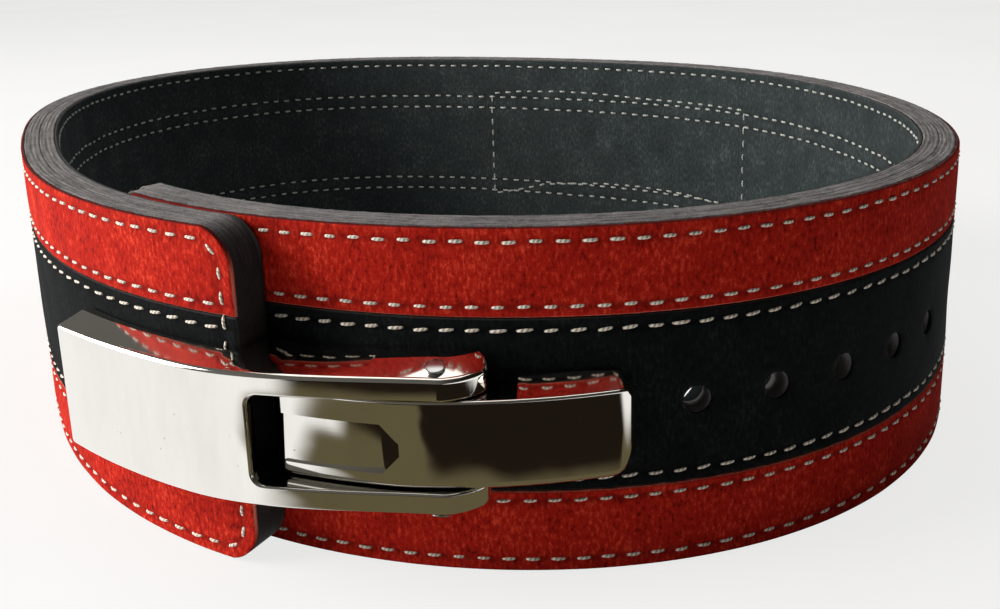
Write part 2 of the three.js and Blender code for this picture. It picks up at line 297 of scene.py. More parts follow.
def make_mesh(name: str, surface: Surface, material: bpy.types.Material) -> bpy.types.Object:
    """Puts a surface into a mesh object at the origin, smooth, with its UV map and marks.

    Args:
        name: The object's name.
        surface: What it is made of.
        material: Its material.

    Returns:
        The object.
    """
    mesh = bpy.data.meshes.new(name)
    surface = surface.outward()
    sizes = np.array(surface.sizes, np.int32)
    corners = np.concatenate([surface.quads.reshape(-1), *surface.caps]).astype(np.int32)
    mesh.vertices.add(len(surface.vertices))
    mesh.vertices.foreach_set("co", surface.vertices.astype(np.float32).reshape(-1))
    mesh.loops.add(len(corners))
    mesh.loops.foreach_set("vertex_index", corners)
    mesh.polygons.add(len(sizes))
    starts = np.concatenate([[0], np.cumsum(sizes)[:-1]]).astype(np.int32)
    mesh.polygons.foreach_set("loop_start", starts)
    mesh.polygons.foreach_set("loop_total", sizes)
    mesh.polygons.foreach_set("use_smooth", np.ones(len(sizes), bool))
    if surface.uv is not None:
        mesh.uv_layers.new(name="UVMap").uv.foreach_set("vector", surface.uv.astype(np.float32).reshape(-1))
    for mark, values in surface.marks.items():
        attribute = mesh.attributes.new(mark, "FLOAT", "POINT")
        attribute.data.foreach_set("value", values.astype(np.float32))
    mesh.update(calc_edges=True)
    mesh.validate()
    mesh.materials.append(material)
    piece = bpy.data.objects.new(name, mesh)
    bpy.context.scene.collection.objects.link(piece)
    return piece


def joined(surfaces: Sequence[Surface]) -> Surface:
    """Several surfaces as one, their vertices one after the other.

    Args:
        surfaces: The surfaces.

    Returns:
        One surface without a UV map or marks.
    """
    starts = np.cumsum([0] + [len(s.vertices) for s in surfaces])
    quads = np.concatenate([s.quads + n for s, n in zip(surfaces, starts)])
    caps = [cap + n for s, n in zip(surfaces, starts) for cap in s.caps]
    return Surface(np.concatenate([s.vertices for s in surfaces]), quads, caps)


def settle(piece: bpy.types.Object) -> None:
    """Makes what a piece's modifiers do its own mesh.

    Args:
        piece: The object.
    """
    graph = bpy.context.evaluated_depsgraph_get()
    settled = bpy.data.meshes.new_from_object(piece.evaluated_get(graph), depsgraph=graph)
    old = piece.data
    piece.modifiers.clear()
    piece.data = settled
    settled.name = piece.name
    bpy.data.meshes.remove(old)


def cut(piece: bpy.types.Object, tool: Surface) -> None:
    """Cuts a piece with a closed surface.

    Args:
        piece: The object that is cut.
        tool: The closed surface.
    """
    other = make_mesh("tool", tool, piece.data.materials[0])
    step = piece.modifiers.new("cut", "BOOLEAN")
    step.operation = "DIFFERENCE"
    step.solver = "EXACT"
    step.object = other
    settle(piece)
    shape = other.data
    bpy.data.objects.remove(other)
    bpy.data.meshes.remove(shape)


# Shader maths


class Value:
    """A number socket that the usual operators add Math nodes to."""

    def __init__(self, graph: "Graph", socket: bpy.types.NodeSocket) -> None:
        """Wraps one socket of a graph."""
        self.graph = graph
        self.socket = socket

    def __add__(self, other: "Value | float") -> "Value":
        """Sum."""
        return self.graph.math("ADD", self, other)

    def __sub__(self, other: "Value | float") -> "Value":
        """Difference."""
        return self.graph.math("SUBTRACT", self, other)

    def __mul__(self, other: "Value | float") -> "Value":
        """Product."""
        return self.graph.math("MULTIPLY", self, other)


class Graph:
    """The nodes of one material."""

    def __init__(self, name: str) -> None:
        """Starts a material with a Principled shader.

        Args:
            name: The material's name.
        """
        self.material = bpy.data.materials.new(name)
        self.material.use_nodes = True
        self.tree = self.material.node_tree
        self.tree.nodes.clear()
        self.shader = self.node("ShaderNodeBsdfPrincipled")
        output = self.node("ShaderNodeOutputMaterial")
        self.tree.links.new(self.shader.outputs[0], output.inputs[0])
        self.coordinates = self.node("ShaderNodeTexCoord")

    def node(self, kind: str, settings: dict[str, Any] | None = None, **inputs: Any) -> bpy.types.Node:
        """Adds a node.

        Args:
            kind: The node's type.
            settings: Its own properties, set before its sockets.
            inputs: Values or links by socket name, with _ for a space, or by socket number after a letter i.

        Returns:
            The node.
        """
        node = self.tree.nodes.new(kind)
        for key, value in (settings or {}).items():
            setattr(node, key, value)
        for key, value in inputs.items():
            numbered = key[0] == "i" and key[1:].isdigit()
            socket = node.inputs[int(key[1:]) if numbered else key.replace("_", " ")]
            self.feed(socket, value)
        return node

    def feed(self, socket: bpy.types.NodeSocket, value: Any) -> None:
        """Links a value or socket to a socket, or sets a plain value on it.

        Args:
            socket: The socket that takes it.
            value: A value, a socket, or a number, vector or colour.
        """
        if isinstance(value, Value):
            self.tree.links.new(value.socket, socket)
        elif isinstance(value, bpy.types.NodeSocket):
            self.tree.links.new(value, socket)
        else:
            socket.default_value = value

    def math(self, operation: str, *inputs: Value | float) -> Value:
        """A Math node."""
        numbered = {f"i{k}": value for k, value in enumerate(inputs)}
        return Value(self, self.node("ShaderNodeMath", {"operation": operation}, **numbered).outputs[0])

    def scaled(self, vector: bpy.types.NodeSocket, by: tuple[float, float, float]) -> bpy.types.NodeSocket:
        """A vector times another, part by part."""
        return self.node("ShaderNodeVectorMath", {"operation": "MULTIPLY"}, i0=vector, i1=by).outputs[0]

    def noise(
        self,
        vector: bpy.types.NodeSocket,
        size: float,
        detail: float = 3,
        rough: float = 0.5,
    ) -> Value:
        """Soft noise whose lumps are about a size in millimetres.

        Args:
            vector: Where it is read.
            size: Size of the lumps.
            detail: How many finer noises lie on it.
            rough: How strong the finer ones are.

        Returns:
            The noise, from 0 to 1.
        """
        scale = 1 / (size * MM)
        node = self.node("ShaderNodeTexNoise", Vector=vector, Scale=scale, Detail=detail, Roughness=rough)
        return Value(self, node.outputs[0])

    def mark(self, name: str) -> Value:
        """A value that the mesh carries."""
        return Value(self, self.node("ShaderNodeAttribute", {"attribute_name": name}).outputs["Fac"])

    def between(self, value: Value, low: float, high: float) -> Value:
        """Eases from 0 to 1 as a value goes from low to high.

        Args:
            value: The value.
            low: Where it leaves 0.
            high: Where it comes to 1.

        Returns:
            The share.
        """
        settings = {"interpolation_type": "SMOOTHSTEP"}
        node = self.node("ShaderNodeMapRange", settings, Value=value, From_Min=low, From_Max=high)
        return Value(self, node.outputs[0])

    def blend(self, share: Any, start: Any, end: Any) -> bpy.types.NodeSocket:
        """Goes from one colour to another by a share."""
        return self.node("ShaderNodeMix", {"data_type": "RGBA"}, i0=share, i6=start, i7=end).outputs[2]

    def bump(self, height: Value, depth: float, strength: float = 1.0) -> None:
        """Gives the shader a relief of a depth in millimetres."""
        node = self.node("ShaderNodeBump", Strength=strength, Distance=depth * MM, Height=height)
        self.feed(self.shader.inputs["Normal"], node.outputs[0])

    def finish(self, **inputs: Any) -> bpy.types.Material:
        """Sets the shader's sockets and gives the material.

        Args:
            inputs: Values or links by socket name, with _ for a space.

        Returns:
            The material.
        """
        for key, value in inputs.items():
            self.feed(self.shader.inputs[key.replace("_", " ")], value)
        return self.material


Colour = tuple[float, float, float, float]


def tint(red: int, green: int, blue: int) -> Colour:
    """A display colour of 0 to 255 as the linear colour that shaders use.

    Args:
        red: Red part.
        green: Green part.
        blue: Blue part.

    Returns:
        The colour with an alpha of 1.
    """
    parts = [v / 255 for v in (red, green, blue)]
    parts = [v / 12.92 if v <= 0.04045 else ((v + 0.055) / 1.055) ** 2.4 for v in parts]
    return (parts[0], parts[1], parts[2], 1.0)


# Finishes


@dataclass(frozen=True)
class Suede:
    """Napped split leather: mottled short fibres, darker where sewn down, with edges of their own colour."""

    name: str
    dark: Colour
    middle: Colour
    light: Colour
    edge: Colour
    seam_edge: Colour
    sheen: float = 0.06
    relief: float = 0.35
    middle_height: float = 0.05
    rim: tuple[float, float] = (0.035, 0.045)

    def build(self) -> bpy.types.Material:
        """Makes the material.

        Returns:
            The material.
        """
        g = Graph(self.name)
        uv = g.coordinates.outputs["UV"]
        place = g.coordinates.outputs["Object"]
        nap = g.noise(g.scaled(uv, (1.0, 0.45, 1.0)), size=1.1, detail=4, rough=0.6)
        grain = g.noise(place, size=0.45, detail=3, rough=0.6)
        cloud = g.noise(place, size=14, detail=3, rough=0.55)
        brushed = g.noise(g.scaled(uv, (1.0, 0.2, 1.0)), size=4.5, detail=3, rough=0.5)
        tone = nap * 0.5 + grain * 0.2 + cloud * 0.2 + brushed * 0.1
        lower = g.blend(g.between(tone, low=0.36, high=0.5), self.dark, self.middle)
        colour = g.blend(g.between(tone, low=0.5, high=0.64), lower, self.light)
        sewn = g.mark("sewn")
        colour = g.blend(sewn * 0.6, colour, self.dark)
        fringe = g.between(g.mark("edge") + grain * 0.5 - 0.25, low=0.3, high=0.7)
        height = g.node("ShaderNodeSeparateXYZ", Vector=place).outputs[2]
        from_middle = g.math("ABSOLUTE", Value(g, height) - self.middle_height)
        rim = g.between(from_middle, *self.rim)
        colour = g.blend(fringe, colour, g.blend(rim, self.seam_edge, self.edge))
        g.bump(nap * 0.6 + grain * 0.4, depth=self.relief, strength=0.9)
        return g.finish(
            Base_Color=colour,
            Roughness=0.92,
            Specular_IOR_Level=0.06,
            Sheen_Weight=self.sheen,
            Sheen_Roughness=0.45,
            Sheen_Tint=self.light,
        )


@dataclass(frozen=True)
class CutLeather:
    """The cut edge of coloured leather: fine lines along the strap, with a dusty, fibrous surface.

    Painted shade darkens it towards the strap's outer end.
    """

    name: str
    dark: Colour
    light: Colour
    painted_end_shade: Colour

    def build(self) -> bpy.types.Material:
        """Makes the material.

        Returns:
            The material.
        """
        g = Graph(self.name)
        uv = g.coordinates.outputs["UV"]
        place = g.coordinates.outputs["Object"]
        lines = g.noise(g.scaled(uv, (0.03, 1.0, 1.0)), size=0.7, detail=4, rough=0.65)
        fibres = g.noise(g.scaled(uv, (0.25, 1.0, 1.0)), size=0.35, detail=3, rough=0.6)
        dust = g.noise(place, size=6, detail=4, rough=0.6)
        grain = g.noise(place, size=0.4, detail=3, rough=0.6)
        tone = lines * 0.45 + fibres * 0.2 + dust * 0.15 + grain * 0.2
        colour = g.blend(g.between(tone, low=0.38, high=0.62), self.dark, self.light)
        # painted shade: the cut edge turns near black towards the strap's outer end, as if its end face lay
        # in shadow
        colour = g.blend(g.mark("painted_end_shade") * 0.9, colour, self.painted_end_shade)
        g.bump(lines * 0.6 + grain * 0.4, depth=0.35, strength=0.8)
        return g.finish(Base_Color=colour, Roughness=0.88, Specular_IOR_Level=0.25)


@dataclass(frozen=True)
class Thread:
    """Thick waxed thread, whose twisted strands run round each stitch."""

    name: str
    shade: Colour
    light: Colour

    def build(self) -> bpy.types.Material:
        """Makes the material.

        Returns:
            The material.
        """
        g = Graph(self.name)
        parts = g.node("ShaderNodeSeparateXYZ", Vector=g.coordinates.outputs["UV"])
        along, across = (Value(g, parts.outputs[k]) for k in (0, 1))
        strands = g.math("SINE", (along * 4.0 + across) * (2 * math.pi)) * 0.5 + 0.5
        fuzz = g.noise(g.coordinates.outputs["Object"], size=0.3, detail=3, rough=0.6)
        dirt = g.noise(g.coordinates.outputs["Object"], size=9, detail=3, rough=0.6)
        # painted shade: the strands' stripes darken the thread between its twisted strands; fuzz and dirt
        # add the thread's own uneven tone
        tone = strands * 0.5 + fuzz * 0.3 + dirt * 0.4
        colour = g.blend(g.between(tone, low=0.25, high=0.75), self.shade, self.light)
        g.bump(strands * 0.7 + fuzz * 0.3, depth=0.12, strength=0.8)
        return g.finish(Base_Color=colour, Roughness=0.62, Sheen_Weight=0.2, Specular_IOR_Level=0.35)


@dataclass(frozen=True)
class Plated:
    """Polished plating: a mirror with faint smears and hair scratches."""

    name: str
    colour: Colour
    worn: Colour
    polish: float

    def build(self) -> bpy.types.Material:
        """Makes the material.

        Returns:
            The material.
        """
        g = Graph(self.name)
        place = g.coordinates.outputs["Object"]
        smear = g.noise(g.scaled(place, (1.0, 1.0, 0.35)), size=16, detail=4, rough=0.6)
        hairs = g.noise(g.scaled(place, (0.12, 0.12, 1.0)), size=0.5, detail=2, rough=0.5)
        pits = g.noise(place, size=1.6, detail=2, rough=0.5)
        spots = g.between(pits, low=0.74, high=0.8)
        colour = g.blend(spots * 0.5 + g.between(smear, low=0.35, high=0.8) * 0.12, self.colour, self.worn)
        rough = g.between(smear, low=0.3, high=0.75) * 0.07 + spots * 0.2 + self.polish
        g.bump(hairs, depth=0.002, strength=0.4)
        return g.finish(Base_Color=colour, Metallic=1.0, Roughness=rough)


class Finish(Enum):
    """The belt's finishes, by the slot of the record that each belongs to."""

    RED = (
        "red_suede",
        Suede(
            "red_nap",
            dark=tint(92, 14, 12),
            middle=tint(168, 30, 20),
            light=tint(222, 70, 48),
            edge=tint(84, 26, 24),
            seam_edge=tint(214, 120, 104),
        ),
    )
    BLACK = (
        "black_suede",
        Suede(
            "black_nap",
            dark=tint(7, 8, 9),
            middle=tint(17, 20, 21),
            light=tint(33, 38, 39),
            edge=tint(34, 36, 37),
            seam_edge=tint(58, 60, 60),
            sheen=0.03,
        ),
    )
    LINING = (
        "lining_suede",
        Suede(
            "lining_nap",
            dark=tint(32, 38, 39),
            middle=tint(46, 53, 54),
            light=tint(74, 82, 83),
            edge=tint(70, 72, 72),
            seam_edge=tint(40, 44, 45),
            sheen=0.05,
            relief=0.2,
        ),
    )
    LEATHER = (
        "cut_leather",
        # painted shade: the last colour is the near black that the cut edge takes towards the outer end
        CutLeather("cut_edges", dark=tint(62, 61, 62), light=tint(140, 138, 139), painted_end_shade=tint(20, 20, 21)),
    )
    THREAD = ("thread", Thread("waxed_thread", shade=tint(150, 140, 128), light=tint(238, 230, 218)))
    # painted shade: a darker copy of the thread for the stitches inside the loop, where they lie in shade
    SHADED_INSIDE_THREAD = ("thread", Thread("shaded_thread", shade=tint(105, 108, 104), light=tint(188, 192, 186)))
    CHROME = (
        "chrome",
        Plated("chrome_plating", colour=tint(226, 223, 217), worn=tint(150, 140, 120), polish=0.035),
    )
    STEEL = (
        "pin_steel",
        Plated("pin_plating", colour=tint(196, 196, 198), worn=tint(120, 118, 116), polish=0.22),
    )

    def material(self) -> bpy.types.Material:
        """The finish's material, made the first time that it is asked for."""
        name = self.value[1].name
        return bpy.data.materials.get(name) or self.value[1].build()


class Body(Enum):
    """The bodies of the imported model."""

    BELT = "belt"
    LEVER = "lever"


def keep(piece: bpy.types.Object, body: Body, nodes: Sequence[str] = ()) -> None:
    """Puts a finished piece on its body, hides the nodes that it stands for, and logs it.

    Args:
        piece: The piece.
        body: The body that it moves with.
        nodes: Names of the nodes that it stands for.
    """
    if nodes:
        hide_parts(*nodes)
    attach(piece, body.value)
    piece.data.calc_loop_triangles()
    log.info("%s on %s: %d triangles", piece.name, body.value, len(piece.data.loop_triangles))


def polish(piece: bpy.types.Object) -> None:
    """Keeps a cast piece's flats flat in the light, and its hard edges hard.

    Args:
        piece: The cast piece.
    """
    hard_edge = math.radians(18)
    flat_weight = 60
    piece.data.set_sharp_from_angle(angle=hard_edge)
    normals = piece.modifiers.new("flats", "WEIGHTED_NORMAL")
    normals.mode = "FACE_AREA"
    normals.weight = flat_weight
    normals.keep_sharp = True
    settle(piece)


def dress(
    name: str,
    surface: Surface,
    body: Body,
    finish: Finish,
    nodes: Sequence[str] = (),
    tools: Sequence[Surface] = (),
    cast: bool = False,
) -> None:
    """Makes a piece, cuts it, and puts it on its body.

    Args:
        name: Its name.
        surface: What it is made of.
        body: The body that it moves with.
        finish: Its finish.
        nodes: Names of the nodes that it stands for.
        tools: What it is cut with, in order.
        cast: Whether its flats are polished.
    """
    piece = make_mesh(name, surface, finish.material())
    for tool in tools:
        cut(piece, tool)
    if cast:
        polish(piece)
    keep(piece, body, nodes)


# The strap


@dataclass(frozen=True)
class Seams:
    """Where the strap is sewn: straight rows, and one row round its outline."""

    pitch: float = 7.0
    stitch: float = 4.6
    thread: float = 0.95
    rows: tuple[float, ...] = (78.0, 71.5, 28.5, 22.0)
    inset: float = 4.1
    sink: float = 0.42
    spread: float = 1.05
    beat: float = 0.28


@dataclass(frozen=True)
class Strap:
    """The strap's four layers as closed bands with sewn relief, worn edges and punched holes.

    The slow waves are rows of size, length along, length up and phase; the rags of a cut edge are rows of
    length and size; and the furrows of a ply's edge are rows of their share of its width and their depth.
    """

    height: float = 100.0
    corner: float = 12.0
    start: float = -117.0
    end_place: float = -46.0
    skive: float = 6.0
    suede: float = 1.2
    ply: float = 5.0
    gap: float = 0.3
    slack: float = 0.06
    ply_round: float = 0.4
    skin_inset: float = 0.4
    band: float = 25.0
    edge_round: float = 0.7
    hole_width: float = 8.0
    hole_height: float = 49.0
    hole_pitch: float = 25.0
    first_hole: float = -0.5
    holes: int = 8
    first_prong_hole: float = -62.0
    prong_holes: int = 2
    screwed: int = 2
    lean: tuple[float, float] = (3.2, 2.4)
    peg_past: tuple[float, float] = (0.25, 0.9)
    wave_set: tuple[tuple[float, float, float, float], ...] = (
        (0.09, 17, 11, 0),
        (0.06, 7.3, -6.1, 1),
        (0.05, 3.9, 4.3, 2),
    )
    rags: tuple[tuple[float, float], ...] = ((9.7, 0.10), (4.3, 0.08), (2.45, 0.07), (1.37, 0.05))
    rag_reach: float = 0.8
    rag_share: float = 0.6
    ply_rag_share: float = 0.5
    ply_rag_stretch: float = 0.8
    ply_rag_drift: float = 0.13
    ply_sink: float = 0.1
    hole_dip: float = 0.4
    hole_dip_width: float = 0.9
    worn_width: float = 0.35
    edge_steps: tuple[float, ...] = (0, 0.12, 0.3, 0.55, 0.9)
    row_steps: tuple[float, ...] = (-2.2, -1.3, -0.65, 0, 0.65, 1.3, 2.2)
    ply_steps: tuple[float, ...] = (0, 0.06, 0.2, 0.42)
    furrows: tuple[tuple[float, float], ...] = ((0.22, 0.1), (0.47, 0.2), (0.76, 0.14))
    furrow_width: float = 0.28
    # painted shade on the cut edge: where it starts before the outer end, and over what length it grows
    end_shade_start: float = 9.0
    end_shade_length: float = 7.0
    seams: Seams = Seams()

    @property
    def end(self) -> float:
        """Place of the outer end."""
        return LOOP.length + self.end_place

    @property
    def thickness(self) -> float:
        """Thickness of the whole strap."""
        return 2 * (self.suede + self.ply) + 3 * self.gap

    @cached_property
    def hole_places(self) -> Array:
        """Places of all the punched holes.

        Returns:
            The tongue's holes, then the outer end's.
        """
        tongue = self.first_hole + self.hole_pitch * np.arange(self.holes)
        outer = LOOP.length + self.first_prong_hole - self.hole_pitch * np.arange(self.prong_holes)
        return np.concatenate([tongue, outer])

    def inside_outline(self, place: Array, height: Array, start: float) -> Array:
        """Distance in from the strap's outline, a long rectangle with round corners.

        Args:
            place: Places along the strap.
            height: Heights.
            start: Place where the layer starts.

        Returns:
            Distances, below 0 outside.
        """
        half = np.array([(self.end - start) / 2, self.height / 2])
        from_middle = [abs(place - (self.end + start) / 2), abs(height - self.height / 2)]
        q = np.stack(from_middle, -1) - (half - self.corner)
        beyond = np.linalg.norm(np.maximum(q, 0), axis=-1) + np.minimum(q.max(-1), 0)
        return self.corner - beyond

    def corner_cut(self, place: Array, start: float) -> Array:
        """What the round corners take off the height: r - sqrt(r^2 - x^2), x being the way into them."""
        reach = self.corner - np.clip(np.minimum(place - start, self.end - place), 0, self.corner)
        return self.corner - np.sqrt(self.corner**2 - reach**2)

    def places(self, start: float, step: float) -> Array:
        """Places of the rings, closer together in the corners and by the holes.

        Args:
            start: Place where the layer starts.
            step: Length between rings elsewhere.

        Returns:
            The places, rising.
        """
        turn = np.linspace(0, math.pi / 2, 13)[:-1]
        corner = self.corner * (1 - np.cos(turn))
        middle = np.arange(start + self.corner, self.end - self.corner, step)
        hole_reach = 5.6
        near = (self.hole_places[:, None] + np.linspace(-hole_reach, hole_reach, 17)).reshape(-1)
        near = near[(near > start + self.corner + step) & (near < self.end - self.corner - step)]
        apart = abs(middle[:, None] - near).min(1) > step / 3
        return np.sort(np.concatenate([start + corner, middle[apart], near, self.end - corner]))

    def sewn(self, place: Array, height: Array) -> Array:
        """Depth of the seams, from 0 to 1: a bell across each row, deepest between stitches.

        Args:
            place: Places along the strap.
            height: Heights.

        Returns:
            The depths.
        """
        seams = self.seams
        beat = 1 - seams.beat - seams.beat * np.cos(2 * math.pi * (place / seams.pitch))
        rows = [np.exp(-(((height - row) / seams.spread) ** 2)) for row in seams.rows]
        inside = self.inside_outline(place, height, self.start)
        rows.append(np.exp(-(((inside - seams.inset) / seams.spread) ** 2)))
        return np.max(rows, axis=0) * beat

    def waves(self, place: Array, height: Array) -> Array:
        """Slow unevenness of the surface: crossed sine waves."""
        return sum(
            size * np.sin(place / along + height / up + phase)
            for size, along, up, phase in self.wave_set
        )

    def ragged(self, place: Array, seed: float) -> Array:
        """Unevenness of a cut edge along the strap: sine waves without a common length."""
        return sum(
            size * np.sin(2 * math.pi * place / length + seed * length)
            for length, size in self.rags
        )

    def layer(self, levels: Array, face: float, back: float, start: float, step: float) -> Surface:
        """A layer whose fine face has sewn relief and whose back is plain.

        The face's point is its depth, less the seams' sink, less the rounding of its edges, plus slow waves.

        Args:
            levels: Heights across the face, rising, between the layer's two long edges.
            face: Distance out of the fine face.
            back: Distance out of the plain back.
            start: Place where the layer starts.
            step: Length between rings.

        Returns:
            The closed layer.
        """
        places = self.places(start, step)
        low, high = levels[0], levels[-1]
        cut_off = self.corner_cut(places, start)
        bottom = np.maximum(low, cut_off)[:, None]
        top = np.minimum(high, self.height - cut_off)[:, None]
        share = (levels - low) / (high - low)
        heights = bottom + (top - bottom) * share
        near_edge = np.exp(-np.minimum(heights - bottom, top - heights) / self.rag_reach)
        lower, upper = (self.ragged(places, level)[:, None] for level in (round(low), round(high)))
        heights = heights + near_edge * np.where(share < 0.5, lower, upper) * self.rag_share
        place = np.broadcast_to(places[:, None], heights.shape)
        from_end = np.minimum(place - start, self.end - place)
        from_edge = np.minimum(np.minimum(heights - bottom, top - heights), from_end)
        bend = 1 - np.clip(from_edge / self.edge_round, 0, 1)
        rounding = self.edge_round * (1 - np.sqrt(np.maximum(1 - bend**2, 0)))
        sewn = self.sewn(place, heights)
        outward = 1 if face > back else -1
        along, up = place[..., None] - self.hole_places, heights[..., None] - self.hole_height
        from_rim = np.hypot(along, up).min(-1) - self.hole_width / 2
        dip = self.hole_dip * np.exp(-((from_rim / self.hole_dip_width) ** 2))
        relief = self.waves(place, heights) * (1 - bend) - self.seams.sink * sewn - rounding - dip
        edge = np.exp(-np.minimum(from_edge, abs(from_rim)) / self.worn_width)
        outs = np.concatenate([face + outward * relief, np.full((len(places), 2), back)], 1)
        ring = np.concatenate([heights, heights[:, -1:], heights[:, :1]], 1)
        rings = LOOP.strap(places[:, None], outs, ring)
        thick = abs(face - back)
        across = np.concatenate([levels, [high + thick, 2 * high - low, 2 * high - low + thick]])
        marks = {
            "sewn": np.concatenate([sewn, np.zeros((len(places), 2))], 1),
            "edge": np.concatenate([edge, np.ones((len(places), 2))], 1),
        }
        return swept(rings, places, across, marks)

    def levels(self, low: float, high: float, widest: float) -> Array:
        """Heights across a face: close by its edges, rows and holes, and at most a width apart elsewhere.

        Args:
            low: Lower edge of the face.
            high: Upper edge of the face.
            widest: Greatest width between two heights.

        Returns:
            The heights, rising.
        """
        near_edge = np.array(self.edge_steps)
        rows = np.array([*self.seams.rows, self.seams.inset, self.height - self.seams.inset])
        near_rows = (rows[:, None] + np.array(self.row_steps)).reshape(-1)
        hole_reach = 5.4
        hole = self.hole_height + np.linspace(-hole_reach, hole_reach, 13)
        found = np.concatenate([low + near_edge, high - near_edge, near_rows, hole])
        found = np.sort(found[(found >= low) & (found <= high)])
        gaps = []
        for a, b in zip(found, found[1:]):
            steps = max(2, math.ceil((b - a) / widest) + 1)
            gaps.append(np.linspace(a, b, steps)[:-1])
        return np.append(np.concatenate(gaps), high)

    def punch(self) -> Surface:
        """Round pegs through all the holes, of which the free ones lean, as hand punching leaves them.

        Returns:
            The pegs as one surface.
        """
        out = np.array([-self.thickness - self.peg_past[0], self.peg_past[1]])
        pegs = []
        for number, place in enumerate(self.hole_places):
            lean = np.array([1.0, 0.0]) if self.screwed <= number < self.holes else np.zeros(2)
            places, heights = place + self.lean[0] * lean, self.hole_height - self.lean[1] * lean
            ends = LOOP.strap(places, out, heights) / MM
            length = float(np.linalg.norm(ends[1] - ends[0]))
            radius = self.hole_width / 2
            profile = np.array([[0, 0], [radius, 0], [radius, length], [0, length]])
            pegs.append(lathe(profile, ends[0], ends[1] - ends[0], sides=40))
        return joined(pegs)

    def ply_ring(self, face: float) -> tuple[Array, Array]:
        """Distances out and rises of a ply's upper cut edge, from its outer to its inner side.

        The rise is the rounding of both corners, less three shallow furrows.

        Args:
            face: Distance out of the ply's outer side.

        Returns:
            The distances and the rises.
        """
        width = self.ply + self.gap - self.slack
        corners = np.array(self.ply_steps)
        flat_start = 0.75
        flat = np.linspace(flat_start, width - flat_start, 13)
        across = np.concatenate([corners, flat, width - corners[::-1]])
        bend = 1 - np.clip(np.minimum(across, width - across) / self.ply_round, 0, 1)
        furrows = sum(
            depth * np.exp(-(((across - width * share) / self.furrow_width) ** 2))
            for share, depth in self.furrows
        )
        return face - across, -self.ply_round * (1 - np.sqrt(1 - bend**2)) - furrows

    def ply_surface(self, face: float, start: float) -> Surface:
        """One leather ply: its edge's ring carried along the strap, once upwards and once downwards.

        Args:
            face: Distance out of the ply's outer side.
            start: Place where the ply starts.

        Returns:
            The closed ply.
        """
        places = self.places(start, step=2.2)
        cut_off = self.corner_cut(places, start)[:, None]
        outs, rises = self.ply_ring(face)
        stretched = places[:, None] * self.ply_rag_stretch
        wear = self.ply_rag_share * self.ragged(stretched, outs[None, :] * self.ply_rag_drift)
        wear = np.where(cut_off > 0, 0, wear)
        top = self.height - cut_off + rises + wear - self.ply_sink
        bottom = cut_off - rises
        round_trip = np.concatenate([outs, outs[::-1]])
        out = np.broadcast_to(round_trip, (len(places), len(round_trip)))
        height = np.concatenate([top, bottom[:, ::-1]], 1)
        rings = LOOP.strap(places[:, None], out, height)
        lengths = np.cumsum(abs(np.diff(round_trip, append=outs[0])))
        lengths = np.concatenate([[0], lengths])
        lengths[len(outs):] += self.height
        # painted shade: a mark that rises over the last millimetres before the outer end and darkens the cut
        # edge there
        painted_end_shade = smoothstep((places - self.end + self.end_shade_start) / self.end_shade_length)
        painted_end_shade = np.broadcast_to(painted_end_shade[:, None], out.shape)
        return swept(rings, places, lengths, {"painted_end_shade": painted_end_shade})

    def build(self) -> None:
        """Makes the layers, punches them and puts them on the belt's body."""
        skin_low, skin_high = self.skin_inset, self.height - self.skin_inset
        low_seam, high_seam = self.band, self.height - self.band
        half = self.gap / 2
        suede_start = self.start + self.skive
        bands = (
            ("red_suede_top", Finish.RED, high_seam + half, skin_high, "outer_red_top"),
            ("black_suede_centre", Finish.BLACK, low_seam + half, high_seam - half, "outer_black_centre"),
            ("red_suede_bottom", Finish.RED, skin_low, low_seam - half, "outer_red_bottom"),
        )
        pegs = self.punch()
        for name, finish, low, high, node in bands:
            levels = self.levels(low, high, widest=3.0)
            surface = self.layer(levels, 0, -self.suede, suede_start, step=1.0)
            tools = [pegs] if finish is Finish.BLACK else []
            dress(name, surface, Body.BELT, finish, [node], tools)
        outer_face = -self.suede - self.gap / 2
        inner_face = outer_face - self.ply - self.gap
        plies = (
            ("leather_outer_ply", outer_face, self.start + self.skive / 2, "core_outer_ply"),
            ("leather_inner_ply", inner_face, self.start, "core_inner_ply"),
        )
        for name, face, start, node in plies:
            dress(name, self.ply_surface(face, start), Body.BELT, Finish.LEATHER, [node], [pegs])
        back = self.suede - self.thickness
        levels = self.levels(skin_low, skin_high, widest=4.0)
        surface = self.layer(levels, back - self.suede, back, self.start, step=1.4)
        dress("suede_lining", surface, Body.BELT, Finish.LINING, ["lining_suede"], [pegs])


# The stitches


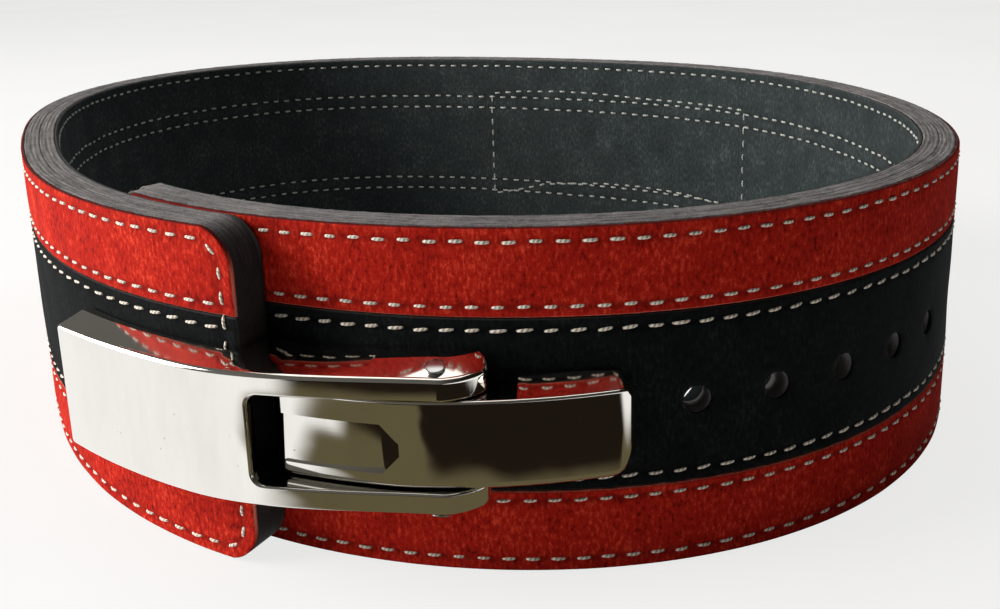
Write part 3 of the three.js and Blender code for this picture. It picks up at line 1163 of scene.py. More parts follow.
@dataclass(frozen=True)
class Stitching:
    """Every stitch of the belt, as short bent threads laid along the seams."""

    strap: Strap
    rings: int = 7
    sides: int = 6
    bury: float = 0.75
    rise: float = 0.3
    patch_left: float = 588.0
    patch_right: float = 422.0
    slants: tuple[float, ...] = (0.05, 0.12, 0.12, 0.05)
    grows: tuple[float, ...] = (1.05, 1.22, 1.22, 1.05)
    outline_slant: float = 0.03
    outline_grow: float = 1.08
    sink_share: float = 0.8
    patch_sink_share: float = 0.4
    turn_spread: float = 0.035
    length_spread: float = 0.05
    spot_spread: float = 0.1
    tip_share: float = 0.35
    wide: float = 1.08
    flat: float = 0.85

    def walk(self, corners: Array) -> tuple[Array, Array]:
        """Even steps of one stitch pitch along a line of points.

        Args:
            corners: Rows of place and height.

        Returns:
            The middles of the stitches, and the unit ways along them.
        """
        lengths = np.concatenate([[0], np.cumsum(np.linalg.norm(np.diff(corners, axis=0), axis=1))])
        count = max(1, round(lengths[-1] / self.strap.seams.pitch))
        step = lengths[-1] / count
        middles = (np.arange(count) + 0.5) * step

        def at(where: Array) -> Array:
            """Point at a length along the line."""
            return np.stack([np.interp(where, lengths, corners[:, k]) for k in (0, 1)], -1)

        way = at(middles + step / 4) - at(middles - step / 4)
        return at(middles), way / np.linalg.norm(way, axis=1, keepdims=True)

    def row(self, height: float) -> tuple[Array, Array]:
        """A straight row, whose stitches keep to the pitch that the relief has.

        Args:
            height: Height of the row.

        Returns:
            The middles of the stitches, and the unit ways along them.
        """
        pitch = self.strap.seams.pitch
        first = math.ceil((self.strap.start + 10) / pitch)
        last = math.floor((self.strap.end - 8) / pitch)
        places = np.arange(first, last + 1) * pitch
        middles = np.stack([places, np.full(len(places), height)], -1)
        return middles, np.broadcast_to([1.0, 0.0], middles.shape)

    def outline(self) -> tuple[Array, Array]:
        """The row round the strap's outline, with round corners.

        Returns:
            The middles of the stitches, and the unit ways along them.
        """
        strap = self.strap
        inset = strap.seams.inset
        radius = strap.corner - inset
        centres = (
            (strap.end - strap.corner, strap.corner, -90),
            (strap.end - strap.corner, strap.height - strap.corner, 0),
            (strap.start + strap.corner, strap.height - strap.corner, 90),
            (strap.start + strap.corner, strap.corner, 180),
        )
        quarter = np.radians(np.linspace(0, 90, 9))
        arcs = []
        for place, height, base in centres:
            turn = quarter + math.radians(base)
            arcs.append(np.stack([place + radius * np.cos(turn), height + radius * np.sin(turn)], -1))
        return self.walk(np.concatenate(arcs + [arcs[0][:1]]))

    def patch(self) -> tuple[Array, Array]:
        """The patch's seam at the back: two upright rows, and two that swing along the straight ones.

        Returns:
            The middles of the stitches, and the unit ways along them.
        """
        left, right = self.patch_left, self.patch_right
        corners = (left, 80.0), (right, 80.2), (right, 24.0), (left, 20.0)
        top = [(left - 18, 81.6), (545, 82.4), (519, 81.8), (493, 80.6), (453, 80.4)]
        bottom = [(445, 28.2), (466, 29.9), (493, 30.4), (519, 30.2), (555, 27.2), (572, 23.0)]
        lines = [
            [corners[0], *top, corners[1]],
            [corners[1], corners[2]],
            [corners[2], *bottom, corners[3]],
            [corners[3], corners[0]],
        ]
        walks = [self.walk(np.array(line, float)) for line in lines]
        return np.concatenate([w[0] for w in walks]), np.concatenate([w[1] for w in walks])

    def threads(
        self,
        middles: Array,
        ways: Array,
        face: float,
        outward: int,
        seed: int,
        slant: float = 0.0,
        grow: float = 1.0,
    ) -> Surface:
        """Threads along many short ways on a face.

        Each is a tube whose middle line goes out by the square root of a half sine, so that its ends dive
        into the surface, and whose width swells in the same way.

        Args:
            middles: Place and height of the stitches' middles.
            ways: Unit ways along them, in place and height.
            face: Distance out of the face that they lie on.
            outward: 1 on the outer face, and -1 on the inner one.
            seed: Start of the small random differences.
            slant: Mean turn from the seam's way, in radians.
            grow: How much longer than usual the stitches are.

        Returns:
            All the threads as one surface.
        """
        random = np.random.default_rng(seed)
        count = len(middles)
        turn = slant + random.normal(0, self.turn_spread, count)
        cos, sin = np.cos(turn), np.sin(turn)
        x, y = ways[:, 0], ways[:, 1]
        way = np.stack([x * cos - y * sin, x * sin + y * cos], -1)
        side = np.stack([-way[:, 1], way[:, 0]], -1)
        length = self.strap.seams.stitch * grow * (1 + random.normal(0, self.length_spread, count))
        middle = middles + random.normal(0, self.spot_spread, (count, 2))
        t = np.linspace(0, 1, self.rings)
        swell = np.sqrt(np.maximum(np.sin(math.pi * t), 0))
        radius = self.strap.seams.thread / 2 * (self.tip_share + (1 - self.tip_share) * swell)
        lift = -self.bury + (self.bury + self.rise) * swell
        angle = np.linspace(0, 2 * math.pi, self.sides, endpoint=False)
        offset = radius[:, None] * np.cos(angle) * self.wide
        height = lift[:, None] + radius[:, None] * np.sin(angle) * self.flat
        along = (t - 0.5)[None, :, None] * length[:, None, None]
        spots = (
            middle[:, None, None, :]
            + along[..., None] * way[:, None, None, :]
            + offset[None, ..., None] * side[:, None, None, :]
        )
        out = face + outward * np.broadcast_to(height, (count, *height.shape))
        points = LOOP.strap(spots[..., 0], out, spots[..., 1])
        ring_quads = grid_quads(self.rings, self.sides, True)
        size = self.rings * self.sides
        starts = np.arange(count) * size
        quads = (starts[:, None, None] + ring_quads).reshape(-1, 4)
        return self.with_ends(points, quads, starts)

    def with_ends(self, points: Array, quads: Array, starts: Array) -> Surface:
        """Closes the threads' ends with two quads each and gives them their UV map.

        Args:
            points: The threads' points by stitch, ring and side.
            quads: The faces between the rings.
            starts: Number of each stitch's first point.

        Returns:
            All the threads as one surface.
        """
        last = (self.rings - 1) * self.sides
        near = np.array([[0, 1, 2, 3], [0, 3, 4, 5]])
        far = np.array([[3, 2, 1, 0], [5, 4, 3, 0]]) + last
        ends = np.concatenate([near, far])
        caps = (starts[:, None, None] + ends).reshape(-1, 4)
        t = np.arange(self.rings - 1)
        u = np.stack([t, t + 1, t + 1, t], -1)[:, None] / (self.rings - 1)
        k = np.arange(self.sides)
        v = np.stack([k, k, k + 1, k + 1], -1)[None] / self.sides
        uv = np.stack(np.broadcast_arrays(u, v), -1).reshape(-1, 2)
        uv = np.concatenate([np.tile(uv, (len(starts), 1)), np.zeros((len(caps) * 4, 2))])
        return Surface(points.reshape(-1, 3), np.concatenate([quads, caps]), [], uv).outward()

    def build(self) -> None:
        """Makes the outer and the inner stitches and puts them on the belt's body."""
        rows = [self.row(height) for height in self.strap.seams.rows]
        outline = self.outline()
        sink = self.strap.seams.sink * self.sink_share
        patch_sink = self.strap.seams.sink * self.patch_sink_share
        outer = [
            self.threads(*row, -sink, 1, seed, slant, grow)
            for seed, (row, slant, grow) in enumerate(zip(rows, self.slants, self.grows))
        ]
        slant, grow = self.outline_slant, self.outline_grow
        outer.append(self.threads(*outline, -sink, 1, seed=7, slant=slant, grow=grow))
        dress("stitches_outside", stacked(outer), Body.BELT, Finish.THREAD)
        face = -self.strap.thickness
        inner = [self.threads(*row, face + sink, -1, seed) for seed, row in enumerate(rows, 11)]
        inner.append(self.threads(*outline, face + sink, -1, seed=17))
        inner.append(self.threads(*self.patch(), face + patch_sink, -1, seed=19))
        # painted shade: the inside stitches take the darker, shaded copy of the thread
        dress("stitches_inside", stacked(inner), Body.BELT, Finish.SHADED_INSIDE_THREAD)


def stacked(surfaces: Sequence[Surface]) -> Surface:
    """Several capless surfaces as one, with their UV maps.

    Args:
        surfaces: The surfaces.

    Returns:
        One surface.
    """
    whole = joined(surfaces)
    whole.uv = np.concatenate([s.uv for s in surfaces])
    return whole


# The fuzz


@dataclass(frozen=True)
class Fringe:
    """Short loose fibres along one edge of the strap, each a thin bent spike of a few faces.

    A fibre starts near a line at a distance out and a height, and reaches by its length in the line's mean
    way, out and up, with a random turn. It has a triangle for a foot.
    """

    name: str
    finish: Finish
    lines: tuple[tuple[float, float, float, float], ...]
    per_length: float
    length: float
    width: float
    spread: float
    seed: int
    shares: tuple[float, float] = (0.35, 1.25)
    root_spread: float = 0.12
    root_depth: float = 0.15
    foot_share: float = 0.87
    highest: float = 0.0006

    def build(self, strap: Strap) -> None:
        """Grows the fibres along every line, as arrays of four corners and four faces a fibre.

        Args:
            strap: The strap that they grow on.
        """
        random = np.random.default_rng(self.seed)
        points = []
        for out, height, way_out, way_up in self.lines:
            count = int((strap.end - strap.start - 2 * strap.corner) * self.per_length)
            place = random.uniform(strap.start + strap.corner, strap.end - strap.corner, count)
            length = self.length * random.uniform(*self.shares, count)
            way = np.stack([np.zeros(count), np.full(count, way_out), np.full(count, way_up)], -1)
            way += random.normal(0, self.spread, (count, 3))
            way /= np.linalg.norm(way, axis=1, keepdims=True)
            side = np.cross(way, random.normal(0, 1, (count, 3)))
            side *= self.width / 2 / np.linalg.norm(side, axis=1, keepdims=True)
            other = np.cross(way, side)
            root_out = out + random.normal(0, self.root_spread, count)
            root_height = height + random.normal(0, self.root_spread, count)
            root = np.stack([place, root_out, root_height], -1) - way * self.root_depth
            behind, across = root - side / 2, other * self.foot_share
            tip = root + way * length[:, None]
            points.append(np.stack([root + side, behind + across, behind - across, tip], 1))
        spots = np.concatenate(points).reshape(-1, 3)
        vertices = LOOP.strap(spots[:, 0], spots[:, 1], spots[:, 2])
        vertices[:, 2] = np.clip(vertices[:, 2], 0.0, strap.height * MM + self.highest)
        triangles = np.array([[0, 1, 2], [0, 3, 1], [1, 3, 2], [2, 3, 0]])
        starts = np.arange(len(spots) // 4) * 4
        mesh = bpy.data.meshes.new(self.name)
        mesh.from_pydata(vertices, [], (starts[:, None, None] + triangles).reshape(-1, 3))
        mesh.materials.append(self.finish.material())
        piece = bpy.data.objects.new(self.name, mesh)
        bpy.context.scene.collection.objects.link(piece)
        keep(piece, Body.BELT)


def fringes(strap: Strap) -> tuple[Fringe, ...]:
    """The fuzz on the rim, on the lining's edge and where red and black suede meet.

    Args:
        strap: The strap.

    Returns:
        The fringes, from the rim to the seams.
    """
    inset = 0.35
    top, bottom = strap.height - inset, inset
    back = -strap.thickness
    low, high = strap.band, strap.height - strap.band
    rim = (
        (-0.9, top, 0.55, -0.5),
        (-1.6, top, 0.7, 0.25),
        (-6.5, top, 0.1, 0.6),
        (-1.2, bottom, 0.7, 0.3),
    )
    inner = ((back + 0.5, top, -0.5, 0.5),)
    seams = ((-0.25, high + 0.3, 0.5, -0.7), (-0.25, low - 0.3, 0.5, 0.7))
    brushed = ((-0.15, high - 0.5, 0.6, 0.35), (-0.15, low + 0.5, 0.6, -0.35))
    kinds = (
        ("fuzz_rim", Finish.LEATHER, rim, 5.0, 0.75, 0.07, 0.45),
        ("fuzz_lining_edge", Finish.LINING, inner, 5.0, 0.7, 0.06, 0.5),
        ("fuzz_red_seams", Finish.RED, seams, 4.0, 0.6, 0.06, 0.5),
        ("fuzz_black_seams", Finish.BLACK, brushed, 4.0, 0.55, 0.06, 0.5),
    )
    first_seed = 31
    return tuple(Fringe(*kind, seed) for seed, kind in enumerate(kinds, first_seed))


# The buckle


def corner(radius: float, distance: Array) -> Array:
    """What a quarter round takes off, a distance in from its end: r - sqrt(r^2 - (r - d)^2)."""
    left = radius - np.clip(distance, 0, radius)
    return radius - np.sqrt(radius**2 - left**2)


def nosed(place: Array, start: float, end: float, high: float, low: float, power: float) -> Array:
    """A round end: low + (high - low)(1 - x^n)^(1/n), x being the share of the way from start to end."""
    x = np.clip((place - start) / (end - start), 0, 1)
    return low + (high - low) * (1 - x**power) ** (1 / power)


def closer_at_ends(low: float, high: float, near: float, steps: int) -> Array:
    """Places from low to high, whose steps shrink as a cosine over a length near each end."""
    ease = near * (1 - np.cos(np.linspace(0, math.pi / 2, 13)[:-1]))
    return np.concatenate([low + ease, np.linspace(low + near, high - near, steps), high - ease[::-1]])


@dataclass(frozen=True)
class Sections:
    """A cast part as sections across the strap, each a rectangle whose corners are rounded.

    The rounds are the radii at its far low, far high, near high and near low corners. The slope is how much
    the upper side rises for each millimetre from the far face back, down to a given depth.
    """

    places: Array
    near: Array
    far: Array
    low: Array
    high: Array
    rounds: tuple[float, float, float, float]
    slope: Array | float = 0.0
    slope_depth: float = 8.0
    steps: int = 7
    widest_round: float = 0.499
    deepest_slope: float = 0.85

    def surface(self) -> Surface:
        """Rings of corner points: centre + radius * (cos, sin), a quarter turn at each corner.

        Returns:
            The closed casting.
        """
        limit = self.widest_round * np.minimum(self.far - self.near, self.high - self.low)
        depth = np.minimum(self.slope_depth, self.deepest_slope * (self.far - self.near))
        rise = (self.slope * depth)[:, None]
        outs, heights = [], []
        corners = ((1, -1, -90), (1, 1, 0), (-1, 1, 90), (-1, -1, 180))
        for (side, way, base), size in zip(corners, self.rounds):
            radius = np.minimum(size, limit)[:, None]
            turn = math.radians(base) + np.linspace(0, math.pi / 2, self.steps)
            edge = (self.far if side > 0 else self.near)[:, None]
            level = (self.high if way > 0 else self.low)[:, None]
            if (side, way) == (-1, 1):
                level = level + rise
            outs.append(edge - side * radius + radius * np.cos(turn))
            heights.append(level - way * radius + radius * np.sin(turn))
            if (side, way) == (1, 1):
                outs.append((self.far - depth)[:, None])
                heights.append(level + rise)
        plan = LOOP.plan(self.places[:, None], np.concatenate(outs, 1))
        rings = np.concatenate([plan, np.concatenate(heights, 1)[..., None]], -1) * MM
        return swept(rings, self.places, np.arange(rings.shape[1] + 1.0))


def edge_tool(spots: Array, into: Array, depth: Array, radius: float) -> Surface:
    """A tool that rounds a sharp edge: a small profile carried along it, hollow towards the metal.

    Args:
        spots: Points on the edge, in millimetres.
        into: Unit ways along the surface, from the edge to the metal.
        depth: Unit ways from the surface into the metal.
        radius: Radius of the round edge.

    Returns:
        The closed tool.
    """
    turn = np.radians(np.linspace(5, 85, 7))
    arc = np.stack([radius * (1 - np.cos(turn)), radius * (1 - np.sin(turn))], -1)
    beyond = -0.5 * radius
    profile = np.concatenate([[[beyond, arc[0, 1]]], arc, [[arc[-1, 0], beyond], [beyond, beyond]]])
    rings = spots[:, None] + profile[:, :1] * into[:, None] + profile[:, 1:] * depth[:, None]
    return swept(rings * MM, np.arange(float(len(spots))), np.arange(len(profile) + 1.0))


def bar(places: Array, near: Array, far: Array, low: Array, high: Array, lean: float = 0.0) -> Surface:
    """A bar along the loop: at each place a rectangle, whose near side may lean.

    Args:
        places: Places of the rectangles.
        near: Distances out of their near sides.
        far: Distances out of their far sides.
        low: Their lower heights.
        high: Their upper heights.
        lean: How much deeper than the lower end the upper end of the near side is.

    Returns:
        The closed bar.
    """
    outs = np.stack([far, far, near - lean / 2, near + lean / 2], -1)
    heights = np.stack([low, high, high, low], -1)
    plan = LOOP.plan(places[:, None], outs)
    rings = np.concatenate([plan, heights[..., None]], -1) * MM
    return swept(rings, places, np.arange(5.0))


@dataclass(frozen=True)
class Buckle:
    """Sizes that the lever and the base plate share."""

    centre: float = 44.9
    seat: float = 0.4
    arm_height: float = 6.3
    lever_height: float = 38.5
    arm_rise: float = 15.5
    arm_end: float = 8.0
    hinge_place: float = 12.2
    hinge_rise: float = 6.8
    pin_bore: float = 5.6
    pin_reach: float = 3.5
    arm_clearance: float = 0.35
    slope_places: tuple[float, ...] = (-50.0, -34.0, -22.0, 4.0, 30.0, 51.0)
    slopes: tuple[float, ...] = (16.0, 8.0, 10.0, 20.0, 20.0, 24.0)
    slope_depth: float = 8.0
    thinnest: float = 0.05

    def slope(self, place: Array) -> Array:
        """Rise of a casting's upper side for each millimetre back from its front."""
        return np.tan(np.radians(np.interp(place, self.slope_places, self.slopes)))

    @property
    def inside(self) -> float:
        """Half of the room between the arms."""
        return self.lever_height / 2 - self.arm_height

    @cached_property
    def hinge(self) -> Array:
        """Plan point of the hinge."""
        return LOOP.plan(self.hinge_place, self.hinge_rise)

    def bore(self, half: float) -> Surface:
        """A peg along the hinge, to both sides of the buckle's middle.

        Args:
            half: Its length to each side of the middle.

        Returns:
            The closed peg.
        """
        radius = self.pin_bore / 2
        profile = np.array([[0, 0], [radius, 0], [radius, 2 * half], [0, 2 * half]])
        base = np.array([*self.hinge, self.centre - half])
        return lathe(profile, base, np.array([0, 0, 1.0]), sides=32)


@dataclass(frozen=True)
class Lever:
    """The lever: a cast cover with two arms, and two prongs behind it."""

    buckle: Buckle
    strap: Strap
    left: float = -108.2
    rise: float = 10.2
    plate: float = 3.0
    end_wall: float = 4.0
    window: float = -39.0
    window_corner: float = 3.2
    end_clearance: float = 1.5
    edge: float = 1.5
    back_edge: float = 0.7
    inner_edge: float = 0.8
    nose_power: float = 1.45
    prong_width: float = 4.2
    prong_reach: float = 6.0
    prong_blunt: float = 0.7
    tip_edge: float = 1.2
    drop_half: float = 0.02

    @property
    def tip(self) -> float:
        """Place of the arms' ends."""
        return self.buckle.hinge_place + self.buckle.hinge_rise - self.buckle.seat

    def front(self, place: Array) -> Array:
        """Distance out of the front: level on the strap's end, eased down to the arms, round at both ends.

        Args:
            place: Places along the strap.

        Returns:
            Distances out of the loop.
        """
        start = self.strap.end_place - self.strap.corner
        share = smoothstep((place - start) / (self.buckle.arm_end - start))
        high = LOOP.overlap_lift + self.rise
        level = high + (self.buckle.arm_rise - high) * share - corner(self.edge, place - self.left)
        b = self.buckle
        nose = nosed(place, b.arm_end, self.tip, b.arm_rise, b.hinge_rise, self.nose_power)
        return np.where(place < b.arm_end, level, nose)

    def under(self, place: Array) -> Array:
        """Distance out of the underside: on the strap's end, then on the tongue, then round the hinge.

        Args:
            place: Places along the strap.

        Returns:
            Distances out of the loop.
        """
        b = self.buckle
        drop = self.strap.end_place + self.end_clearance
        lift = LOOP.lift_at(np.where(place < drop, place + LOOP.length, place)) + b.seat
        radius = b.hinge_rise - b.seat
        beyond = np.clip((place - b.hinge_place) / radius, 0, 1)
        return np.where(place < b.hinge_place, lift, b.hinge_rise - radius * np.sqrt(1 - beyond**2))

    def body(self) -> Surface:
        """The whole casting before it is opened.

        Returns:
            The closed casting.
        """
        places = closer_at_ends(self.left, self.tip, near=3.0, steps=150)
        drop = self.strap.end_place + self.end_clearance
        places = np.sort(np.append(places, [drop - self.drop_half, drop + self.drop_half]))
        cut_off = corner(self.edge, places - self.left) + corner(self.tip_edge, self.tip - places)
        half = self.buckle.lever_height / 2 - cut_off
        low, high = self.buckle.centre - half, self.buckle.centre + half
        rounds = (self.edge, self.edge, self.back_edge, self.back_edge)
        under = self.under(places)
        far = np.maximum(self.front(places), under + self.buckle.thinnest)
        slope = self.buckle.slope(places)
        return Sections(places, under, far, low, high, rounds, slope, self.buckle.slope_depth).surface()

    def hollow(self) -> Surface:
        """What is left open behind the plate.

        Returns:
            The closed tool.
        """
        past_window = 2.0
        places = np.linspace(self.left + self.end_wall, self.window + past_window, 60)
        half = np.full(len(places), self.buckle.inside)
        far = self.front(places) - self.plate
        near = np.full(len(places), -self.strap.thickness)
        return bar(places, near, far, self.buckle.centre - half, self.buckle.centre + half)

    def opening(self) -> Surface:
        """What is left open between the arms, with round corners at the plate.

        Returns:
            The closed tool.
        """
        size = self.window_corner
        past_tip, past_front = 7.0, 45.0
        ease = size * (1 - np.cos(np.linspace(0, math.pi / 2, 9)))
        ends = np.linspace(self.window + size, self.tip + past_tip, 60)[1:]
        places = np.concatenate([self.window + ease, ends])
        half = self.buckle.inside - corner(size, places - self.window)
        near, far = np.full(len(places), -self.strap.thickness), np.full(len(places), past_front)
        return bar(places, near, far, self.buckle.centre - half, self.buckle.centre + half)

    def inner_edges(self) -> Surface:
        """Tool along the opening's front edge: from one arm's end round the plate's corners to the other's.

        Returns:
            The closed tool.
        """
        size, half = self.window_corner, self.buckle.inside
        count, end = 9, self.tip - 0.3
        arm = end - closer_at_ends(0, end - self.window - size, near=4.0, steps=60)
        turn = np.linspace(math.pi / 2, math.pi, count)[1:-1]
        centre = np.array([self.window + size, half - size])
        quarter = centre + size * np.stack([np.cos(turn), np.sin(turn)], -1)
        upper = np.concatenate([np.stack([arm, np.full(len(arm), half)], -1), quarter])
        round_ways = np.stack([np.cos(turn), np.sin(turn)], -1)
        ways = np.concatenate([np.tile([0.0, 1.0], (len(arm), 1)), round_ways])
        side = np.stack([np.full(count, self.window), np.linspace(half - size, size - half, count)], -1)
        path = np.concatenate([upper, side, upper[::-1] * [1, -1]])
        way = np.concatenate([ways, np.tile([-1.0, 0.0], (count, 1)), ways[::-1] * [1, -1]])
        place, step = path[:, 0], 0.02
        here, after = (LOOP.plan(p, self.front(p)) for p in (place - step, place + step))
        along = (after - here) / np.linalg.norm(after - here, axis=1, keepdims=True)
        flat = np.zeros((len(path), 1))
        spots = np.concatenate([LOOP.plan(place, self.front(place)), self.buckle.centre + path[:, 1:]], 1)
        into = np.concatenate([along * way[:, :1], way[:, 1:]], 1)
        depth = np.concatenate([-along[:, 1:], along[:, :1], flat], 1)
        return edge_tool(spots, into, depth, self.inner_edge)

    def prong(self, place: float) -> Surface:
        """A prong from behind the plate into a hole of the strap's end, along its own way about the hinge.

        Args:
            place: Place of its hole, counted from the front.

        Returns:
            The closed prong.
        """
        tip = LOOP.plan(place, LOOP.lift_at(np.array(place + LOOP.length)) - self.prong_reach)
        arm = tip - self.buckle.hinge
        way = np.array([arm[1], -arm[0]]) / np.linalg.norm(arm)
        way *= np.sign(way @ LOOP.normal(LOOP.angle_at(np.array(place))))
        length = self.prong_reach + self.rise - self.plate / 2
        radius = self.prong_width / 2
        turn = np.linspace(0, math.pi / 2, 6)
        tip_round = np.stack([radius * np.sin(turn), radius * self.prong_blunt * (1 - np.cos(turn))], -1)
        profile = np.concatenate([tip_round, [[radius, length], [0, length]]])
        base = np.array([*tip, self.strap.hole_height])
        return lathe(profile, base, np.array([*way, 0.0]), sides=24)

    def build(self) -> None:
        """Casts, opens and polishes the lever and puts it on its body."""
        bore = self.buckle.bore(self.buckle.inside + self.buckle.pin_reach)
        tools = [self.hollow(), self.opening(), self.inner_edges(), bore]
        dress("lever_cover", self.body(), Body.LEVER, Finish.CHROME, ["lever"], tools, cast=True)
        places = self.strap.first_prong_hole - self.strap.hole_pitch * np.arange(self.strap.prong_holes)
        prongs = joined([self.prong(place) for place in places])
        dress("lever_prongs", prongs, Body.LEVER, Finish.CHROME)


@dataclass(frozen=True)
class BasePlate:
    """The buckle's base: a cast plate on the strap, with a recess that points to its foot."""

    buckle: Buckle
    strap: Strap
    left: float = -34.0
    bend: float = -4.0
    right: float = 51.2
    foot: float = 57.0
    rise: float = 15.3
    rise_right: float = 8.0
    bend_power: float = 1.3
    foot_power: float = 1.7
    recess_end: float = -2.5
    recess_drop: float = 1.2
    recess_height: float = 14.0
    recess_depths: tuple[float, float] = (1.5, 3.4)
    recess_lean: float = 1.1
    recess_point: float = 4.6
    recess_tip: float = 3.5
    low_edge: float = 2.4
    high_edge: float = 0.9
    low_corner: float = 5.0
    high_corner: float = 2.5
    corner_end: float = 54.5
    slope_start: float = 25.2
    left_edge: float = 0.5
    left_corner: float = 0.8
    back_edge: float = 0.4
    foot_rise: float = 0.1
    bore_past: float = 1.0

    def front(self, place: Array) -> Array:
        """Distance out of the front: level, then falling with a power of the way, then round to the foot.

        Args:
            place: Places along the strap.

        Returns:
            Distances out of the loop.
        """
        share = np.clip((place - self.bend) / (self.right - self.bend), 0, 1) ** self.bend_power
        level = self.rise + (self.rise_right - self.rise) * share - corner(self.left_edge, place - self.left)
        low = self.buckle.seat + self.foot_rise
        nose = nosed(place, self.right, self.foot, self.rise_right, low, self.foot_power)
        return np.where(place < self.right, level, nose)

    def body(self) -> Surface:
        """The casting before its recess.

        Returns:
            The closed casting.
        """
        places = closer_at_ends(self.left, self.foot, near=7.0, steps=130)
        half = self.buckle.inside - self.buckle.arm_clearance
        left = corner(self.left_corner, places - self.left)
        low = self.buckle.centre - half + left + corner(self.low_corner, self.corner_end - places)
        high = self.buckle.centre + half - left - corner(self.high_corner, self.corner_end - places)
        near = LOOP.lift_at(places) + self.buckle.seat
        rounds = (self.low_edge, self.high_edge, self.back_edge, self.back_edge)
        far = np.maximum(self.front(places), near + self.buckle.thinnest)
        slope = smoothstep(places - self.slope_start) * self.buckle.slope(places)
        return Sections(places, near, far, low, high, rounds, slope, self.buckle.slope_depth).surface()

    def recess(self) -> Surface:
        """The recess in the front, with a pointed right end.

        Returns:
            The closed tool.
        """
        past_left, past_front = 1.0, 30.0
        straight = np.linspace(self.left - past_left, self.recess_end - self.recess_point, 40)
        places = np.append(straight, self.recess_end)
        half = np.full(len(places), self.recess_height / 2)
        half[-1] = self.recess_tip / 2
        shallow, deep = self.recess_depths
        share = (places - self.left) / (self.recess_end - self.left)
        front = self.front(np.maximum(places, self.left + past_left))
        floor = front - shallow - (deep - shallow) * share**3
        centre = self.buckle.centre - self.recess_drop
        far = np.full(len(places), past_front)
        return bar(places, floor, far, centre - half, centre + half, self.recess_lean)

    def build(self) -> None:
        """Casts and polishes the base plate and puts it on the belt's body."""
        tools = [self.recess(), self.buckle.bore(self.buckle.inside + self.bore_past)]
        dress("buckle_base", self.body(), Body.BELT, Finish.CHROME, ["base_plate"], tools, cast=True)


@dataclass(frozen=True)
class Fasteners:
    """The rivets in the lever's arms, the hinge pin and the two screws from the inside of the strap."""

    buckle: Buckle
    strap: Strap
    rivet_place: float = 6.4
    rivet_rise: float = 11.2
    rivet_width: float = 5.6
    rivet_height: float = 0.75
    rivet_gap: float = 0.03
    rivet_rim: float = 0.25
    rivet_shank: float = 3.0
    rivet_depth: float = 2.5
    screw_head: float = 12.0
    screw_head_height: float = 1.6
    screw_shank: float = 7.2
    screw_depth: float = 3.5
    screw_edge: float = 0.9

    def rivet(self, side: float, way: float) -> Surface:
        """A rivet: a short shank, a flat rim and a low dome, the dome a sine of its turn.

        Args:
            side: Height of the arm's outer side.
            way: 1 on the upper arm, and -1 on the lower one.

        Returns:
            The closed rivet.
        """
        radius, shank, gap = self.rivet_width / 2, self.rivet_shank / 2, self.rivet_gap
        turn = np.linspace(0, math.pi / 2, 8)
        rises = gap + self.rivet_rim + (self.rivet_height - self.rivet_rim) * np.sin(turn)
        dome = np.stack([radius * np.cos(turn), rises], -1)
        stem = [[0, -self.rivet_depth], [shank, -self.rivet_depth], [shank, gap], [radius, gap]]
        profile = np.concatenate([stem, dome])
        slope = math.atan(self.buckle.slope(self.rivet_place))
        plan = LOOP.plan(self.rivet_place, self.rivet_rise)
        height = side + way * (self.buckle.arm_rise - self.rivet_rise) * math.tan(slope)
        out = LOOP.normal(LOOP.angle_at(np.array(self.rivet_place))) * math.sin(slope)
        axis = np.array([*out, way * math.cos(slope)])
        return lathe(profile, np.array([*plan, height]), axis, sides=32)

    def screw(self, place: float) -> Surface:
        """A screw: a low round head on the lining and a plain shank into the base.

        Args:
            place: Place of its hole.

        Returns:
            The closed screw.
        """
        face = -self.strap.thickness - self.strap.gap
        ends = LOOP.strap(place, np.array([face, 0.0]), self.strap.hole_height) / MM
        radius, shank, edge = self.screw_head / 2, self.screw_shank / 2, self.screw_edge
        top = -self.screw_head_height
        turn = np.linspace(0, math.pi / 2, 7)
        dome = np.stack([radius - edge + edge * np.sin(turn), top + edge * (1 - np.cos(turn))], -1)
        tip = -face + self.buckle.seat + self.screw_depth
        stem = [[radius, 0], [shank, 0], [shank, tip], [0, tip]]
        profile = np.concatenate([[[0, top]], dome, stem])
        return lathe(profile, ends[0], ends[1] - ends[0], sides=40)

    def build(self) -> None:
        """Makes the fasteners and puts each on its body."""
        half = self.buckle.lever_height / 2
        for end, way in (("top", 1.0), ("bottom", -1.0)):
            rivet = self.rivet(self.buckle.centre + way * half, way)
            dress(f"rivet_head_{end}", rivet, Body.LEVER, Finish.STEEL, [f"lever_rivet_{end}"])
        for number, place in enumerate(self.strap.hole_places[: self.strap.screwed], 1):
            screw = self.screw(float(place))
            dress(f"screw_{number}", screw, Body.BELT, Finish.STEEL, [f"base_screw_{number}"])
        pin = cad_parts["hinge_pin"]
        pin.data.materials.clear()
        pin.data.materials.append(Finish.STEEL.material())


# The studio


